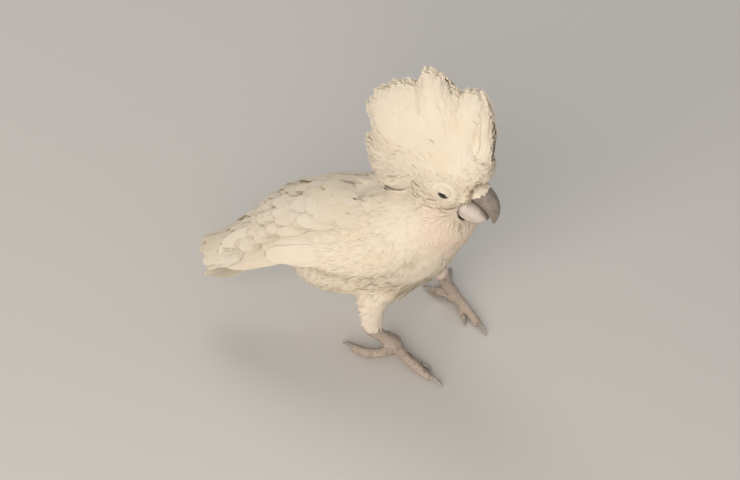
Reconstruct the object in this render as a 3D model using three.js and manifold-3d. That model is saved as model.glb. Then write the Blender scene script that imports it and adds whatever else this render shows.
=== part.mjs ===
// White cockatoo, life size, standing with its crest raised and its head bowed a little.
// Millimetres, +Z up. The bird faces -Y, its right side is at -X.
// The origin is on the ground, under the pad of the right foot.
import * as THREE from 'three';
import { mergeVertices } from 'three/addons/utils/BufferGeometryUtils.js';
import Module from 'manifold-3d';

const wasm = await Module();
wasm.setup();

// ---- driving sizes ----
const seam = 0.35; // clear gap between touching pieces
const trunkCentre = new THREE.Vector3(19, 33, 111);
const trunkPitch = 17; // degrees, chest up
const trunk = { rear: 73, front: 80, widest: 4, half: 48, top: 43, bottom: 51, rearEnd: 3.5, frontEnd: 2.5 };
const headCentre = new THREE.Vector3(-7, -32, 200);
const headTurn = 17; // degrees, to the bird's right
const headPitch = -8; // degrees, bill down
const head = { rear: 33, front: 23, widest: -4, half: 26, top: 29, bottom: 31, rearEnd: 2.3, frontEnd: 2.6 };
const brow = { rear: 20, front: 19, widest: 0, half: 17, top: 18, bottom: 18, rearEnd: 2, frontEnd: 2.3 };
const neck = { lowHalf: 37, lowDeep: 42, midHalf: 34, midDeep: 39, highHalf: 24, highDeep: 23 };
const eye = { forward: 2.5, side: 20.6, up: 1.5, radius: 5.6 };
const crest = { width: 28, thick: 3, apart: 11, tilt: -6, shorter: 0.96 };
const wing = { thick: 5.5, reach: 90 };
const quill = { width: 19, thick: 2 };
const tail = { feathers: 7, length: 94, width: 19, thick: 2.2, fan: 9, apart: 5, droop: 9 };
const leg = { thighTop: 15.5, thighLow: 8, tarsus: 5.2 };
const toe = { pad: 6.4, root: 4.8, tip: 3.5, claw: 2.3 };
const rightFoot = new THREE.Vector3(0, 0, 0);
const leftFoot = new THREE.Vector3(78, -40, 0);
const rightHock = new THREE.Vector3(-8, 22.5, 31);
const leftHock = new THREE.Vector3(73, -28, 34);

// ---- colours ----
const plumage = 0xe9ddc8;
const billGrey = 0x8d8881;
const legSkin = 0xb3a396;
const clawGrey = 0x5f5852;
const eyeDark = 0x120d0a;

const bird = new THREE.Group();
bird.name = 'white_cockatoo';

// ---- frames ----
const radians = THREE.MathUtils.degToRad;
const worldUp = new THREE.Vector3(0, 0, 1);

// A frame gives a point from its distances forward, to the bird's left and up.
function frameAt(centre, turn, pitch) {
  const level = new THREE.Vector3(-Math.sin(radians(turn)), -Math.cos(radians(turn)), 0);
  const left = new THREE.Vector3(Math.cos(radians(turn)), -Math.sin(radians(turn)), 0);
  const forward = level.clone().multiplyScalar(Math.cos(radians(pitch))).setZ(Math.sin(radians(pitch)));
  const up = level.clone().multiplyScalar(-Math.sin(radians(pitch))).setZ(Math.cos(radians(pitch)));
  return { centre, forward, left, up };
}

function place(frame, f, s, u) {
  return frame.centre.clone()
    .addScaledVector(frame.forward, f)
    .addScaledVector(frame.left, s)
    .addScaledVector(frame.up, u);
}

const bodyFrame = frameAt(trunkCentre, 0, trunkPitch);
const headFrame = frameAt(headCentre, headTurn, headPitch);

// ---- closed skins ----
function signedVolume(points, faces) {
  let sum = 0;
  for (const [a, b, c] of faces) {
    sum += points[a].dot(points[b].clone().cross(points[c]));
  }
  return sum / 6;
}

function closedGeometry(points, faces) {
  const outward = signedVolume(points, faces) > 0;
  const index = faces.flatMap(([a, b, c]) => (outward ? [a, b, c] : [a, c, b]));
  const geometry = new THREE.BufferGeometry();
  geometry.setAttribute('position', new THREE.Float32BufferAttribute(points.flatMap((p) => p.toArray()), 3));
  geometry.setIndex(index);
  return geometry;
}

// Joins rings of equal count into one closed skin; each end closes on its own tip point.
function skinRings(rings, startTip, endTip) {
  const count = rings[0].length;
  const points = rings.flat();
  const faces = [];
  for (let r = 0; r + 1 < rings.length; r += 1) {
    for (let i = 0; i < count; i += 1) {
      const a = r * count + i;
      const b = r * count + ((i + 1) % count);
      faces.push([a, b, a + count], [b, b + count, a + count]);
    }
  }
  const start = points.push(startTip) - 1;
  const end = points.push(endTip) - 1;
  const last = (rings.length - 1) * count;
  for (let i = 0; i < count; i += 1) {
    const next = (i + 1) % count;
    faces.push([next, i, start], [last + i, last + next, end]);
  }
  return closedGeometry(points, faces);
}

// An egg-shaped body along a frame's forward axis, with its own top and bottom heights.
function eggSkin(frame, egg, grow, steps, sides) {
  const rings = [];
  for (let i = 1; i < steps; i += 1) {
    const t = -Math.cos((Math.PI * i) / steps);
    const blunt = t < 0 ? egg.rearEnd : egg.frontEnd;
    const size = Math.sqrt(1 - Math.abs(t) ** blunt);
    const run = t < 0 ? egg.rear + grow + egg.widest : egg.front + grow - egg.widest;
    const ring = [];
    for (let k = 0; k < sides; k += 1) {
      const angle = (2 * Math.PI * k) / sides;
      const high = Math.sin(angle) > 0 ? egg.top : egg.bottom;
      const across = Math.cos(angle) * (egg.half + grow) * size;
      ring.push(place(frame, egg.widest + t * run, across, Math.sin(angle) * (high + grow) * size));
    }
    rings.push(ring);
  }
  return skinRings(rings, place(frame, -egg.rear - grow, 0, 0), place(frame, egg.front + grow, 0, 0));
}

// A tube along a smooth path. Each of radii is [across, deep] at an even step, and the ends are rounded off.
function tubeSkin(path, radii, grow, steps, sides, across) {
  const curve = new THREE.CatmullRomCurve3(path);
  const rings = [];
  for (let i = 0; i <= steps; i += 1) {
    const t = i / steps;
    const centre = curve.getPoint(t);
    const along = curve.getTangent(t);
    const deep = along.clone().cross(across).normalize();
    const wide = deep.clone().cross(along).normalize();
    const slot = Math.min(Math.floor(t * (radii.length - 1)), radii.length - 2);
    const part = t * (radii.length - 1) - slot;
    const wideRadius = THREE.MathUtils.lerp(radii[slot][0], radii[slot + 1][0], part) + grow;
    const deepRadius = THREE.MathUtils.lerp(radii[slot][1], radii[slot + 1][1], part) + grow;
    const ring = [];
    for (let k = 0; k < sides; k += 1) {
      const angle = (2 * Math.PI * (k + 0.5)) / sides;
      ring.push(centre.clone()
        .addScaledVector(wide, Math.cos(angle) * wideRadius)
        .addScaledVector(deep, Math.sin(angle) * deepRadius));
    }
    rings.push(ring);
  }
  const startRound = Math.min(...radii[0]) * 0.45 + grow;
  const endRound = Math.min(...radii[radii.length - 1]) * 0.45 + grow;
  const startTip = curve.getPoint(0).addScaledVector(curve.getTangent(0), -startRound);
  const endTip = curve.getPoint(1).addScaledVector(curve.getTangent(1), endRound);
  return skinRings(rings, startTip, endTip);
}

// A broad feather: a flat closed blade that bows by lift and has a rounded tip.
function bladeSkin(root, tip, lift, wide, width, thick) {
  const steps = 4;
  const curve = new THREE.QuadraticBezierCurve3(root, root.clone().lerp(tip, 0.5).add(lift), tip);
  const edge = thick * 0.2;
  const outline = [[1, edge], [0, thick / 2], [-1, edge], [-1, -edge], [0, -thick / 2], [1, -edge]];
  const rings = [];
  for (let i = 0; i < steps; i += 1) {
    const t = i / (steps - 0.5);
    const centre = curve.getPoint(t);
    const along = curve.getTangent(t);
    const normal = along.clone().cross(wide).normalize();
    const flat = normal.clone().cross(along).normalize();
    const swell = 0.45 + 0.55 * Math.min(1, t / 0.5);
    const round = Math.sqrt(1 - Math.max(0, (t - 0.6) / 0.4) ** 2.4);
    const half = (width / 2) * swell * round;
    rings.push(outline.map(([x, y]) => (
      centre.clone().addScaledVector(flat, x * half).addScaledVector(normal, y)
    )));
  }
  return skinRings(rings, root.clone().addScaledVector(curve.getTangent(0), -1), tip.clone());
}

// ---- solids ----
function solid(geometry) {
  const merged = mergeVertices(geometry, 1e-4);
  const mesh = new wasm.Mesh({
    numProp: 3,
    vertProperties: new Float32Array(merged.attributes.position.array),
    triVerts: new Uint32Array(merged.index.array),
  });
  return new wasm.Manifold(mesh);
}

function bareSolid(geometry) {
  geometry.deleteAttribute('normal');
  geometry.deleteAttribute('uv');
  return solid(geometry);
}

function ballSolid(centre, radius) {
  return bareSolid(new THREE.SphereGeometry(radius, 10, 7).translate(centre.x, centre.y, centre.z));
}

function join(pieces) {
  return pieces.reduce((sum, piece) => sum.add(piece));
}

function cut(piece, cutters) {
  return cutters.reduce((rest, cutter) => rest.subtract(cutter), piece);
}

const ground = bareSolid(new THREE.BoxGeometry(600, 600, 60).translate(0, 0, -30));

function addPart(name, piece, colour, roughness) {
  const { vertProperties, triVerts } = piece.getMesh();
  const geometry = new THREE.BufferGeometry();
  geometry.setAttribute('position', new THREE.Float32BufferAttribute(vertProperties, 3));
  geometry.setIndex(new THREE.Uint32BufferAttribute(triVerts, 1));
  geometry.computeVertexNormals();
  const material = new THREE.MeshStandardMaterial({ color: colour, roughness, metalness: 0 });
  const mesh = new THREE.Mesh(geometry, material);
  mesh.name = name;
  bird.add(mesh);
}

// ---- bill ----
// A piece between a top and a bottom profile, both [forward, up] from the middle of the head.
function profileSkin({ top, bottom, halves }, grow) {
  const spot = ([f, u]) => place(headFrame, f, 0, u);
  const topCurve = new THREE.CatmullRomCurve3(top.map(spot));
  const bottomCurve = new THREE.CatmullRomCurve3(bottom.map(spot));
  const widths = new THREE.CatmullRomCurve3(halves.map((half, index) => new THREE.Vector3(index, half, 0)));
  const steps = 9;
  const sides = 10;
  const rings = [];
  for (let i = 0; i <= steps; i += 1) {
    const high = topCurve.getPoint(i / steps);
    const low = bottomCurve.getPoint(i / steps);
    const centre = high.clone().lerp(low, 0.5);
    const rise = high.clone().sub(centre);
    rise.setLength(rise.length() + grow);
    const half = widths.getPoint(i / steps).y + grow;
    const ring = [];
    for (let k = 0; k < sides; k += 1) {
      const angle = (2 * Math.PI * k) / sides;
      ring.push(centre.clone()
        .addScaledVector(headFrame.left, Math.cos(angle) * half)
        .addScaledVector(rise, Math.sin(angle)));
    }
    rings.push(ring);
  }
  const ends = [0, 1].map((t) => topCurve.getPoint(t).lerp(bottomCurve.getPoint(t), 0.5));
  const pushes = [0, 1].map((t) => topCurve.getTangent(t).add(bottomCurve.getTangent(t)).normalize());
  const startTip = ends[0].addScaledVector(pushes[0], -1 - grow);
  return skinRings(rings, startTip, ends[1].addScaledVector(pushes[1], 1 + grow));
}

const upperBill = {
  top: [[12, 5], [23, 6.5], [33, 5], [40.5, -0.5], [45, -8.5], [46, -17], [44, -25.5]],
  bottom: [[12, -8], [19, -9], [26, -11], [32, -14], [36.5, -17.5], [40, -21.5], [42, -25.5]],
  halves: [9.6, 9.6, 9, 7.6, 5.6, 3.4, 1],
};
const lowerBill = {
  top: [[10, -10], [19, -10.5], [27, -13], [33, -17], [36.5, -21]],
  bottom: [[10, -28], [19, -32.5], [27, -32.5], [33.5, -29.5], [38.5, -24.5]],
  halves: [9, 9, 8.2, 6.4, 3.4],
};
const upperBillRoom = solid(profileSkin(upperBill, seam));
const lowerBillRoom = solid(profileSkin(lowerBill, seam));
addPart('bill_upper', solid(profileSkin(upperBill, 0)), billGrey, 0.55);
addPart('bill_lower', cut(solid(profileSkin(lowerBill, 0)), [upperBillRoom]), billGrey, 0.6);

// ---- eyes and head ----
const browFrame = frameAt(place(headFrame, 13, 0, 22), headTurn, 10);

function headSolid(grow) {
  return join([solid(eggSkin(headFrame, head, grow, 9, 14)), solid(eggSkin(browFrame, brow, grow, 6, 12))]);
}

const headGrown = headSolid(seam);
const sockets = [1, -1].map((side) => {
  const centre = place(headFrame, eye.forward, side * eye.side, eye.up);
  addPart(side > 0 ? 'eye_left' : 'eye_right', ballSolid(centre, eye.radius), eyeDark, 0.15);
  return ballSolid(centre, eye.radius + seam);
});
addPart('head', cut(headSolid(0), [...sockets, upperBillRoom, lowerBillRoom]), plumage, 0.9);

// ---- trunk and neck ----
function trunkSkin(grow) {
  return eggSkin(bodyFrame, trunk, grow, 11, 18);
}

function neckSkin(grow) {
  const low = place(bodyFrame, 38, -2, 9);
  const high = place(headFrame, -9, 0, -6);
  const middle = low.clone().lerp(high, 0.5).add(new THREE.Vector3(0, -10, -6));
  const radii = [[neck.lowHalf, neck.lowDeep], [neck.midHalf, neck.midDeep], [neck.highHalf, neck.highDeep]];
  return tubeSkin([low, middle, high], radii, grow, 6, 14, bodyFrame.left);
}

const trunkGrown = solid(trunkSkin(seam));
const neckGrown = solid(neckSkin(seam));
addPart('trunk', solid(trunkSkin(0)), plumage, 0.9);
addPart('neck', cut(solid(neckSkin(0)), [trunkGrown, headGrown, upperBillRoom, lowerBillRoom]), plumage, 0.9);

// ---- crest ----
// Feathers of the middle row, front to back: root and tip as [forward, up] from the middle of the head.
const crestFeathers = [
  { root: [21, 13], tip: [13, 90] },
  { root: [15, 18], tip: [2, 84] },
  { root: [8, 19], tip: [-13, 87] },
  { root: [1, 20], tip: [-27, 97] },
  { root: [-6, 22], tip: [-40, 80] },
  { root: [-11, 22], tip: [-55, 81] },
  { root: [-15, 20], tip: [-70, 70] },
  { root: [-18, 16], tip: [-82, 49] },
  { root: [-20, 12], tip: [-76, 27] },
  { root: [-22, 8], tip: [-81, 3] },
  { root: [-26, 6], tip: [-74, -18] },
];
const crestFrame = frameAt(headCentre, headTurn, 0);

// The rows to either side start apart, lean in to the middle row and are a little shorter.
function crestBlade({ root, tip }, row) {
  const length = row === 0 ? 1 : crest.shorter;
  const reach = [tip[0] - root[0], tip[1] - root[1]].map((part) => part * length);
  const lean = row * Math.hypot(...reach) * Math.tan(radians(crest.tilt));
  const start = place(crestFrame, root[0], row * crest.apart, root[1]);
  const end = place(crestFrame, root[0] + reach[0], row * crest.apart + lean, root[1] + reach[1]);
  const forward = place(crestFrame, reach[1], 0, -reach[0]).sub(crestFrame.centre).normalize();
  return solid(bladeSkin(start, end, forward.clone().multiplyScalar(4), forward, crest.width, crest.thick));
}

const crestBlades = [-1, 0, 1].flatMap((row) => (
  crestFeathers.filter((_, index) => row === 0 || index % 2 === 1).map((feather) => crestBlade(feather, row))
));
const crestBase = {
  rear: 42, front: 36, widest: 0, half: 17, top: 30, bottom: 26, rearEnd: 2.2, frontEnd: 2.4,
};
const crestBaseFrame = frameAt(place(crestFrame, -15, 0, 34), headTurn, 40);
const crestCore = solid(eggSkin(crestBaseFrame, crestBase, 0, 7, 12));
addPart('crest', cut(join([crestCore, ...crestBlades]), [headGrown, neckGrown]), plumage, 0.85);

// ---- wings ----
// The folded wing is a curved plate that follows the flank and narrows to the rear. Half and top are its
// distances from the trunk's axis, low and high the angles between which it wraps the flank.
const wingGuide = [
  { f: 52, half: 38, top: 35, low: 10, high: 50, thick: 0.5 },
  { f: 40, half: 44.5, top: 40.5, low: -4, high: 66, thick: 0.9 },
  { f: 18, half: 49, top: 44, low: -12, high: 76, thick: 1 },
  { f: -8, half: 49.5, top: 44.5, low: -10, high: 78, thick: 1 },
  { f: -32, half: 47, top: 42, low: 0, high: 78, thick: 0.95 },
  { f: -52, half: 41, top: 36, low: 14, high: 76, thick: 0.8 },
  { f: -72, half: 32, top: 28, low: 10, high: 72, thick: 0.65 },
  { f: -wing.reach, half: 23, top: 21, low: 2, high: 68, thick: 0.5 },
];

function wingSkin(side) {
  const arcSteps = 5;
  const rings = wingGuide.map(({ f, half, top, low, high, thick }) => {
    const arc = (k, extra) => {
      const angle = radians(THREE.MathUtils.lerp(low, high, k / arcSteps));
      return place(bodyFrame, f, side * Math.cos(angle) * (half + extra), Math.sin(angle) * (top + extra));
    };
    const outer = [];
    const inner = [];
    for (let k = 0; k <= arcSteps; k += 1) {
      const plump = 0.3 + 0.7 * Math.sin((Math.PI * (k + 0.6)) / (arcSteps + 1.2));
      outer.push(arc(k, wing.thick * thick * plump));
      inner.unshift(arc(k, -1.5));
    }
    return [...outer, ...inner];
  });
  const endTip = (ring) => ring[2].clone().lerp(ring[ring.length - 3], 0.5);
  return skinRings(rings, endTip(rings[0]), endTip(rings[rings.length - 1]));
}

// Quill tips step from the wing's low front edge up over the back. From is the share of the wrap at the root.
const quillTips = [
  { f: -128, s: 10, u: -13, from: 0 },
  { f: -134, s: 13, u: -4, from: 0.16 },
  { f: -130, s: 14, u: 4, from: 0.33 },
  { f: -120, s: 13, u: 11, from: 0.5 },
  { f: -106, s: 11, u: 18, from: 0.66 },
  { f: -88, s: 7, u: 25, from: 0.83 },
];

function quillBlade(side, { f, s, u, from }) {
  const start = wingGuide[5];
  const angle = radians(THREE.MathUtils.lerp(start.low + 6, start.high - 6, from));
  const outward = bodyFrame.left.clone().multiplyScalar(side * Math.cos(angle))
    .addScaledVector(bodyFrame.up, Math.sin(angle));
  const wide = bodyFrame.left.clone().multiplyScalar(-side * Math.sin(angle))
    .addScaledVector(bodyFrame.up, Math.cos(angle));
  const root = place(bodyFrame, start.f, side * Math.cos(angle) * start.half, Math.sin(angle) * start.top)
    .addScaledVector(outward, 1.6);
  const tip = place(bodyFrame, f, side * s, u);
  return solid(bladeSkin(root, tip, outward.multiplyScalar(5), wide, quill.width, quill.thick));
}

// ---- tail ----
const tailRoot = place(bodyFrame, -62, 0, -2);

function tailBlade(index) {
  const share = (2 * index) / (tail.feathers - 1) - 1;
  const frame = frameAt(tailRoot, share * tail.fan * 0.5, trunkPitch + tail.droop);
  const roll = radians(share * 16);
  const wide = frame.left.clone().multiplyScalar(Math.cos(roll)).addScaledVector(frame.up, -Math.sin(roll));
  const root = place(frame, 6, share * tail.apart, 0.6 * (1 - Math.abs(share)));
  const tip = place(frame, 10 * share ** 2 - tail.length, share * tail.apart, -3 * share ** 2);
  return solid(bladeSkin(root, tip, frame.up.clone().multiplyScalar(3), wide, tail.width, tail.thick));
}

const tailBlades = Array.from({ length: tail.feathers }, (_, index) => tailBlade(index));
const tailStem = { rear: 26, front: 22, widest: 4, half: 15, top: 7, bottom: 9, rearEnd: 1.6, frontEnd: 2 };
const tailStemFrame = frameAt(place(bodyFrame, -76, 0, -4), 0, trunkPitch + tail.droop);
const tailCore = solid(eggSkin(tailStemFrame, tailStem, 0, 6, 10));
const tailSolid = cut(join([tailCore, ...tailBlades]), [trunkGrown]);
addPart('tail', tailSolid, plumage, 0.85);

// ---- the wings give way to the trunk, the neck, the tail and each other ----
const middleGap = bareSolid(new THREE.BoxGeometry(seam * 2, 600, 600).translate(trunkCentre.x, 0, 0));
const tailGrown = join([-seam, 0, seam].map((step) => tailSolid.translate([0, step * 0.4, step])));
const wings = [1, -1].map((side) => cut(
  join([solid(wingSkin(side)), ...quillTips.map((row) => quillBlade(side, row))]),
  [trunkGrown, neckGrown, tailGrown, middleGap],
));
addPart('wing_left', wings[0], plumage, 0.85);
addPart('wing_right', wings[1], plumage, 0.85);

// ---- legs ----
// A toe's turn is from straight ahead, positive to the bird's left. Bend bows it sideways, arch lifts it.
const rightToes = [
  { turn: -41, length: 44, claw: 13, arch: 2, bend: 2.5 },
  { turn: -33, length: 28, claw: 10, arch: 2, bend: 3 },
  { turn: -172, length: 36, claw: 12, arch: 3, bend: -11 },
  { turn: 112, length: 17, claw: 9, arch: 2.5, bend: 2 },
];
const leftToes = [
  { turn: -50, length: 41, claw: 13, arch: 2, bend: 0 },
  { turn: -62, length: 26, claw: 11, arch: 2, bend: -3 },
  { turn: 105, length: 30, claw: 12, arch: 3, bend: -6 },
  { turn: 164, length: 20, claw: 10, arch: 2.5, bend: -2 },
];

function thighSkin(side, hock, grow) {
  const top = place(bodyFrame, 4, side * 23, -26);
  const knee = top.clone().lerp(hock, 0.5).add(new THREE.Vector3(side * 2, 1.5, 2));
  const { thighTop, thighLow } = leg;
  const radii = [[thighTop, thighTop * 1.1], [thighTop * 0.82, thighTop * 0.86], [thighLow, thighLow * 1.05]];
  return tubeSkin([top, knee, hock], radii, grow, 6, 12, bodyFrame.left);
}

function tarsusSkin(hock, foot, grow) {
  const low = foot.clone().setZ(toe.pad + 1);
  const middle = hock.clone().lerp(low, 0.5).add(new THREE.Vector3(0, 1.2, 0));
  const radii = [1.22, 0.96, 1.1].map((share) => [leg.tarsus * share, leg.tarsus * share]);
  return tubeSkin([hock, middle, low], radii, grow, 5, 10, bodyFrame.left);
}

function toeLine(foot, { turn, length, arch, bend }) {
  const reach = new THREE.Vector3(Math.sin(radians(turn)), -Math.cos(radians(turn)), 0);
  const across = new THREE.Vector3(reach.y, -reach.x, 0);
  const at = (share, height, sway) => foot.clone()
    .addScaledVector(reach, length * share)
    .addScaledVector(across, bend * sway)
    .setZ(height);
  const points = [at(0, toe.root + 1, 0), at(0.35, toe.root + arch, 0.95), at(0.7, toe.tip + arch * 0.6, 0.8),
    at(1, toe.tip - 0.5, 0)];
  return { points, across, end: points[3].clone().sub(points[2]).setZ(0).normalize() };
}

function toeSkin(foot, row) {
  const { points, across } = toeLine(foot, row);
  const { root, tip } = toe;
  const radii = [[root * 1.1, root], [root * 0.86, root * 0.84], [tip * 1.18, tip * 1.12], [tip, tip * 0.96]];
  return tubeSkin(points, radii, 0, 5, 6, across);
}

function clawSkin(foot, row, grow) {
  const { points, end } = toeLine(foot, row);
  const at = (share, height) => points[3].clone().addScaledVector(end, share * row.claw).setZ(height);
  const path = [at(-0.15, toe.tip - 0.2), at(0.45, toe.tip + 0.6), at(0.85, 1.9), at(1, 0.35)];
  const { claw } = toe;
  const radii = [[claw, claw * 1.05], [claw * 0.8, claw * 0.9], [claw * 0.45, claw * 0.5], [0.4, 0.4]];
  return tubeSkin(path, radii, grow, 4, 6, new THREE.Vector3(end.y, -end.x, 0));
}

function addLeg(name, side, foot, hock, toes) {
  const pad = { rear: 7, front: 7, widest: 0, half: 7, top: 6.4, bottom: 6.4, rearEnd: 2, frontEnd: 2 };
  const padSolid = solid(eggSkin(frameAt(foot.clone().setZ(toe.pad * 0.8), 0, 0), pad, 0, 5, 8));
  const clawRoom = toes.map((row) => solid(clawSkin(foot, row, seam)));
  const footSolid = join([padSolid, ...toes.map((row) => solid(toeSkin(foot, row)))]);
  const tarsusRoom = solid(tarsusSkin(hock, foot, seam));
  addPart(`thigh_${name}`, cut(solid(thighSkin(side, hock, 0)), [trunkGrown]), plumage, 0.9);
  const thighRoom = solid(thighSkin(side, hock, seam));
  addPart(`tarsus_${name}`, cut(solid(tarsusSkin(hock, foot, 0)), [thighRoom]), legSkin, 0.75);
  addPart(`foot_${name}`, cut(footSolid, [ground, tarsusRoom, ...clawRoom]), legSkin, 0.75);
  toes.forEach((row, index) => {
    addPart(`claw_${name}_${index + 1}`, cut(solid(clawSkin(foot, row, 0)), [ground]), clawGrey, 0.45);
  });
}

addLeg('right', -1, rightFoot, rightHock, rightToes);
addLeg('left', 1, leftFoot, leftHock, leftToes);

export default bird;
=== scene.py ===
# White cockatoo, standing: skin, feathers, crest, wings, tail, bill, eyes and claws around the CAD frame.
import math
import bpy
import numpy as np
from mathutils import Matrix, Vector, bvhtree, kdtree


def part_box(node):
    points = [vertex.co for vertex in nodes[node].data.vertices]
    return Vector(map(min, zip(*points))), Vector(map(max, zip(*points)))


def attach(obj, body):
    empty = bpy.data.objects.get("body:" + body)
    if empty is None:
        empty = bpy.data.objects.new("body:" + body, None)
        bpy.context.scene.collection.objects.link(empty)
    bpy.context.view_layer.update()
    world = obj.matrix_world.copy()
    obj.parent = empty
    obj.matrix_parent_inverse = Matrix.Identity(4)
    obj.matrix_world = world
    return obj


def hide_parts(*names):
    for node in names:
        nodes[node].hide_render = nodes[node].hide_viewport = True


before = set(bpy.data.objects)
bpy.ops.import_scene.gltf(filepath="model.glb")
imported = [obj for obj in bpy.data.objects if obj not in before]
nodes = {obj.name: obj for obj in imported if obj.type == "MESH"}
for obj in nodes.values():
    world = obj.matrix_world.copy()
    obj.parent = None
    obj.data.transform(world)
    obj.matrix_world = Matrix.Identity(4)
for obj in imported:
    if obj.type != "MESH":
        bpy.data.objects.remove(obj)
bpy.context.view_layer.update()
rng = np.random.default_rng(11)


def nodeCentre(node):
    low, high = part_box(node)
    return np.array((Vector(low) + Vector(high)) / 2)


def makeActive(piece):
    if bpy.context.object and bpy.context.object.mode != "OBJECT":
        bpy.ops.object.mode_set(mode="OBJECT")
    bpy.ops.object.select_all(action="DESELECT")
    piece.select_set(True)
    bpy.context.view_layer.objects.active = piece


def editAll(piece, operation, **values):
    makeActive(piece)
    bpy.ops.object.mode_set(mode="EDIT")
    bpy.ops.mesh.select_all(action="SELECT")
    operation(**values)
    bpy.ops.object.mode_set(mode="OBJECT")


def applyModifiers(piece):
    makeActive(piece)
    for modifier in list(piece.modifiers):
        bpy.ops.object.modifier_apply(modifier=modifier.name)


def unit(rows):
    return rows / np.maximum(np.linalg.norm(rows, axis=-1, keepdims=True), 1e-9)


def smoothStep(low, high, value):
    t = np.clip((value - low) / (high - low), 0, 1)
    return t * t * (3 - 2 * t)


# A feather's middle line, and the way it points there, at t from root (0) to tip (1).
def onLine(root, bend, tip, t):
    return root * (1 - t) ** 2 + bend * 2 * t * (1 - t) + tip * t ** 2


def lineWay(root, bend, tip, t):
    return unit((bend - root) * (1 - t) + (tip - bend) * t)


# The part of each way that lies along a surface.
def alongSurface(way, up):
    return unit(way - (way * up).sum(axis=-1, keepdims=True) * up)


def treeOf(places):
    tree = kdtree.KDTree(len(places))
    for i, place in enumerate(places):
        tree.insert(place, i)
    tree.balance()
    return tree


# The spot, in metres, at a share of the way through a table of places in millimetres.
def tableSpot(share, table):
    table = np.array(table)
    spot = np.clip(share, 0, 1) * (len(table) - 1)
    low = np.minimum(spot.astype(int), len(table) - 2)
    part = (spot - low)[:, None]
    return (table[low] * (1 - part) + table[low + 1] * part) / 1000


# The height, in metres, at each place along the body, from a table in millimetres.
def heightAt(forward, table):
    table = np.array(table) / 1000
    return np.interp(forward, table[:, 0], table[:, 1])


def addLayer(mesh, name, values):
    mesh.attributes.new(name, "FLOAT", "POINT").data.foreach_set("value", values.astype(np.float32))


def addObject(name, data):
    thing = bpy.data.objects.new(name, data)
    bpy.context.scene.collection.objects.link(thing)
    return thing


def remeshPiece(piece, voxel, rounds):
    remesh = piece.modifiers.new("remesh", "REMESH")
    remesh.mode = "VOXEL"
    remesh.voxel_size = voxel
    smooth = piece.modifiers.new("smooth", "SMOOTH")
    smooth.factor = 0.5
    smooth.iterations = rounds
    applyModifiers(piece)


def readMesh(mesh):
    rows = np.empty((2, len(mesh.vertices) * 3), np.float32)
    mesh.vertices.foreach_get("co", rows[0])
    mesh.vertices.foreach_get("normal", rows[1])
    return rows.reshape(2, -1, 3).astype(float)


def writePoints(mesh, points):
    mesh.vertices.foreach_set("co", points.astype(np.float32).ravel())
    mesh.update()


# A joined copy of CAD nodes as one new object with its corners merged.
def joinedCopy(names, pieceName, trim=None):
    copies = []
    for name in names:
        copy = addObject(pieceName, nodes[name].data.copy())
        if trim:
            trim(copy, name)
        copies.append(copy)
    bpy.ops.object.select_all(action="DESELECT")
    for copy in copies:
        copy.select_set(True)
    bpy.context.view_layer.objects.active = copies[0]
    if len(copies) > 1:
        bpy.ops.object.join()
    piece = bpy.context.object
    piece.name = piece.data.name = pieceName
    piece.data.materials.clear()
    editAll(piece, bpy.ops.mesh.remove_doubles, threshold=0.00002)
    return piece


# The body's and the head's own directions: forward, left and up.
pose = {"chestUp": math.radians(17), "headTurn": math.radians(17)}


def axesFor(turn, pitch):
    level = np.array([-math.sin(turn), -math.cos(turn), 0])
    left = np.array([math.cos(turn), -math.sin(turn), 0])
    up = np.array([0, 0, 1.0])
    forward = level * math.cos(pitch) + up * math.sin(pitch)
    return forward, left, up * math.cos(pitch) - level * math.sin(pitch)


bodyForward, bodyLeft, bodyUp = axesFor(0, pose["chestUp"])
headForward, headLeft, headUp = axesFor(pose["headTurn"], 0)
trunkMiddle = nodeCentre("trunk")
trunkCore = np.array([0.019, 0.033, 0.111])  # where the trunk is widest
eyeRight = nodeCentre("eye_right")
eyeLeft = nodeCentre("eye_left")
billBase = (nodeCentre("bill_upper") + nodeCentre("bill_lower")) / 2 - headForward * 0.014
headMiddle = (eyeRight + eyeLeft) / 2 - headForward * 0.0025 - headUp * 0.0015


def gapTo(places, *spots):
    return np.min([np.linalg.norm(places - spot, axis=1) for spot in spots], axis=0)


# A colour given as red, green and blue levels up to 255.
def tint(*levels):
    shares = [c / 255 for c in levels]
    return tuple(c / 12.92 if c <= 0.04045 else ((c + 0.055) / 1.055) ** 2.4 for c in shares) + (1,)


def newMaterial(name):
    material = bpy.data.materials.new(name)
    material.use_nodes = True
    tree = material.node_tree
    return material, tree, tree.nodes["Principled BSDF"]


# Gives each socket its value, or links it to the socket that feeds it.
def feed(tree, node, sockets):
    for name, value in sockets.items():
        if isinstance(value, bpy.types.NodeSocket):
            tree.links.new(value, node.inputs[name])
        else:
            node.inputs[name].default_value = value
    return node


def addNode(tree, kind, sockets=None, **values):
    node = tree.nodes.new(kind)
    for key, value in values.items():
        setattr(node, key, value)
    return feed(tree, node, sockets or {})


def mixColours(tree, factor, first, second):
    return addNode(tree, "ShaderNodeMix", {0: factor, 6: first, 7: second}, data_type="RGBA").outputs[2]


def calculate(tree, operation, *values):
    return addNode(tree, "ShaderNodeMath", dict(enumerate(values)), operation=operation).outputs[0]


def objectPlace(tree):
    return addNode(tree, "ShaderNodeTexCoord").outputs["Object"]


def clouds(tree, scale, detail=2):
    sockets = {"Scale": scale, "Detail": detail, "Vector": objectPlace(tree)}
    return addNode(tree, "ShaderNodeTexNoise", sockets).outputs["Fac"]


# Values from low to high become values from first to last.
def remap(tree, value, low, high, first, last):
    sockets = {"Value": value, "From Min": low, "From Max": high, "To Min": first, "To Max": last}
    return addNode(tree, "ShaderNodeMapRange", sockets, clamp=True).outputs["Result"]


def attributeAt(tree, name, output="Fac"):
    return addNode(tree, "ShaderNodeAttribute", attribute_name=name).outputs[output]


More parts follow.
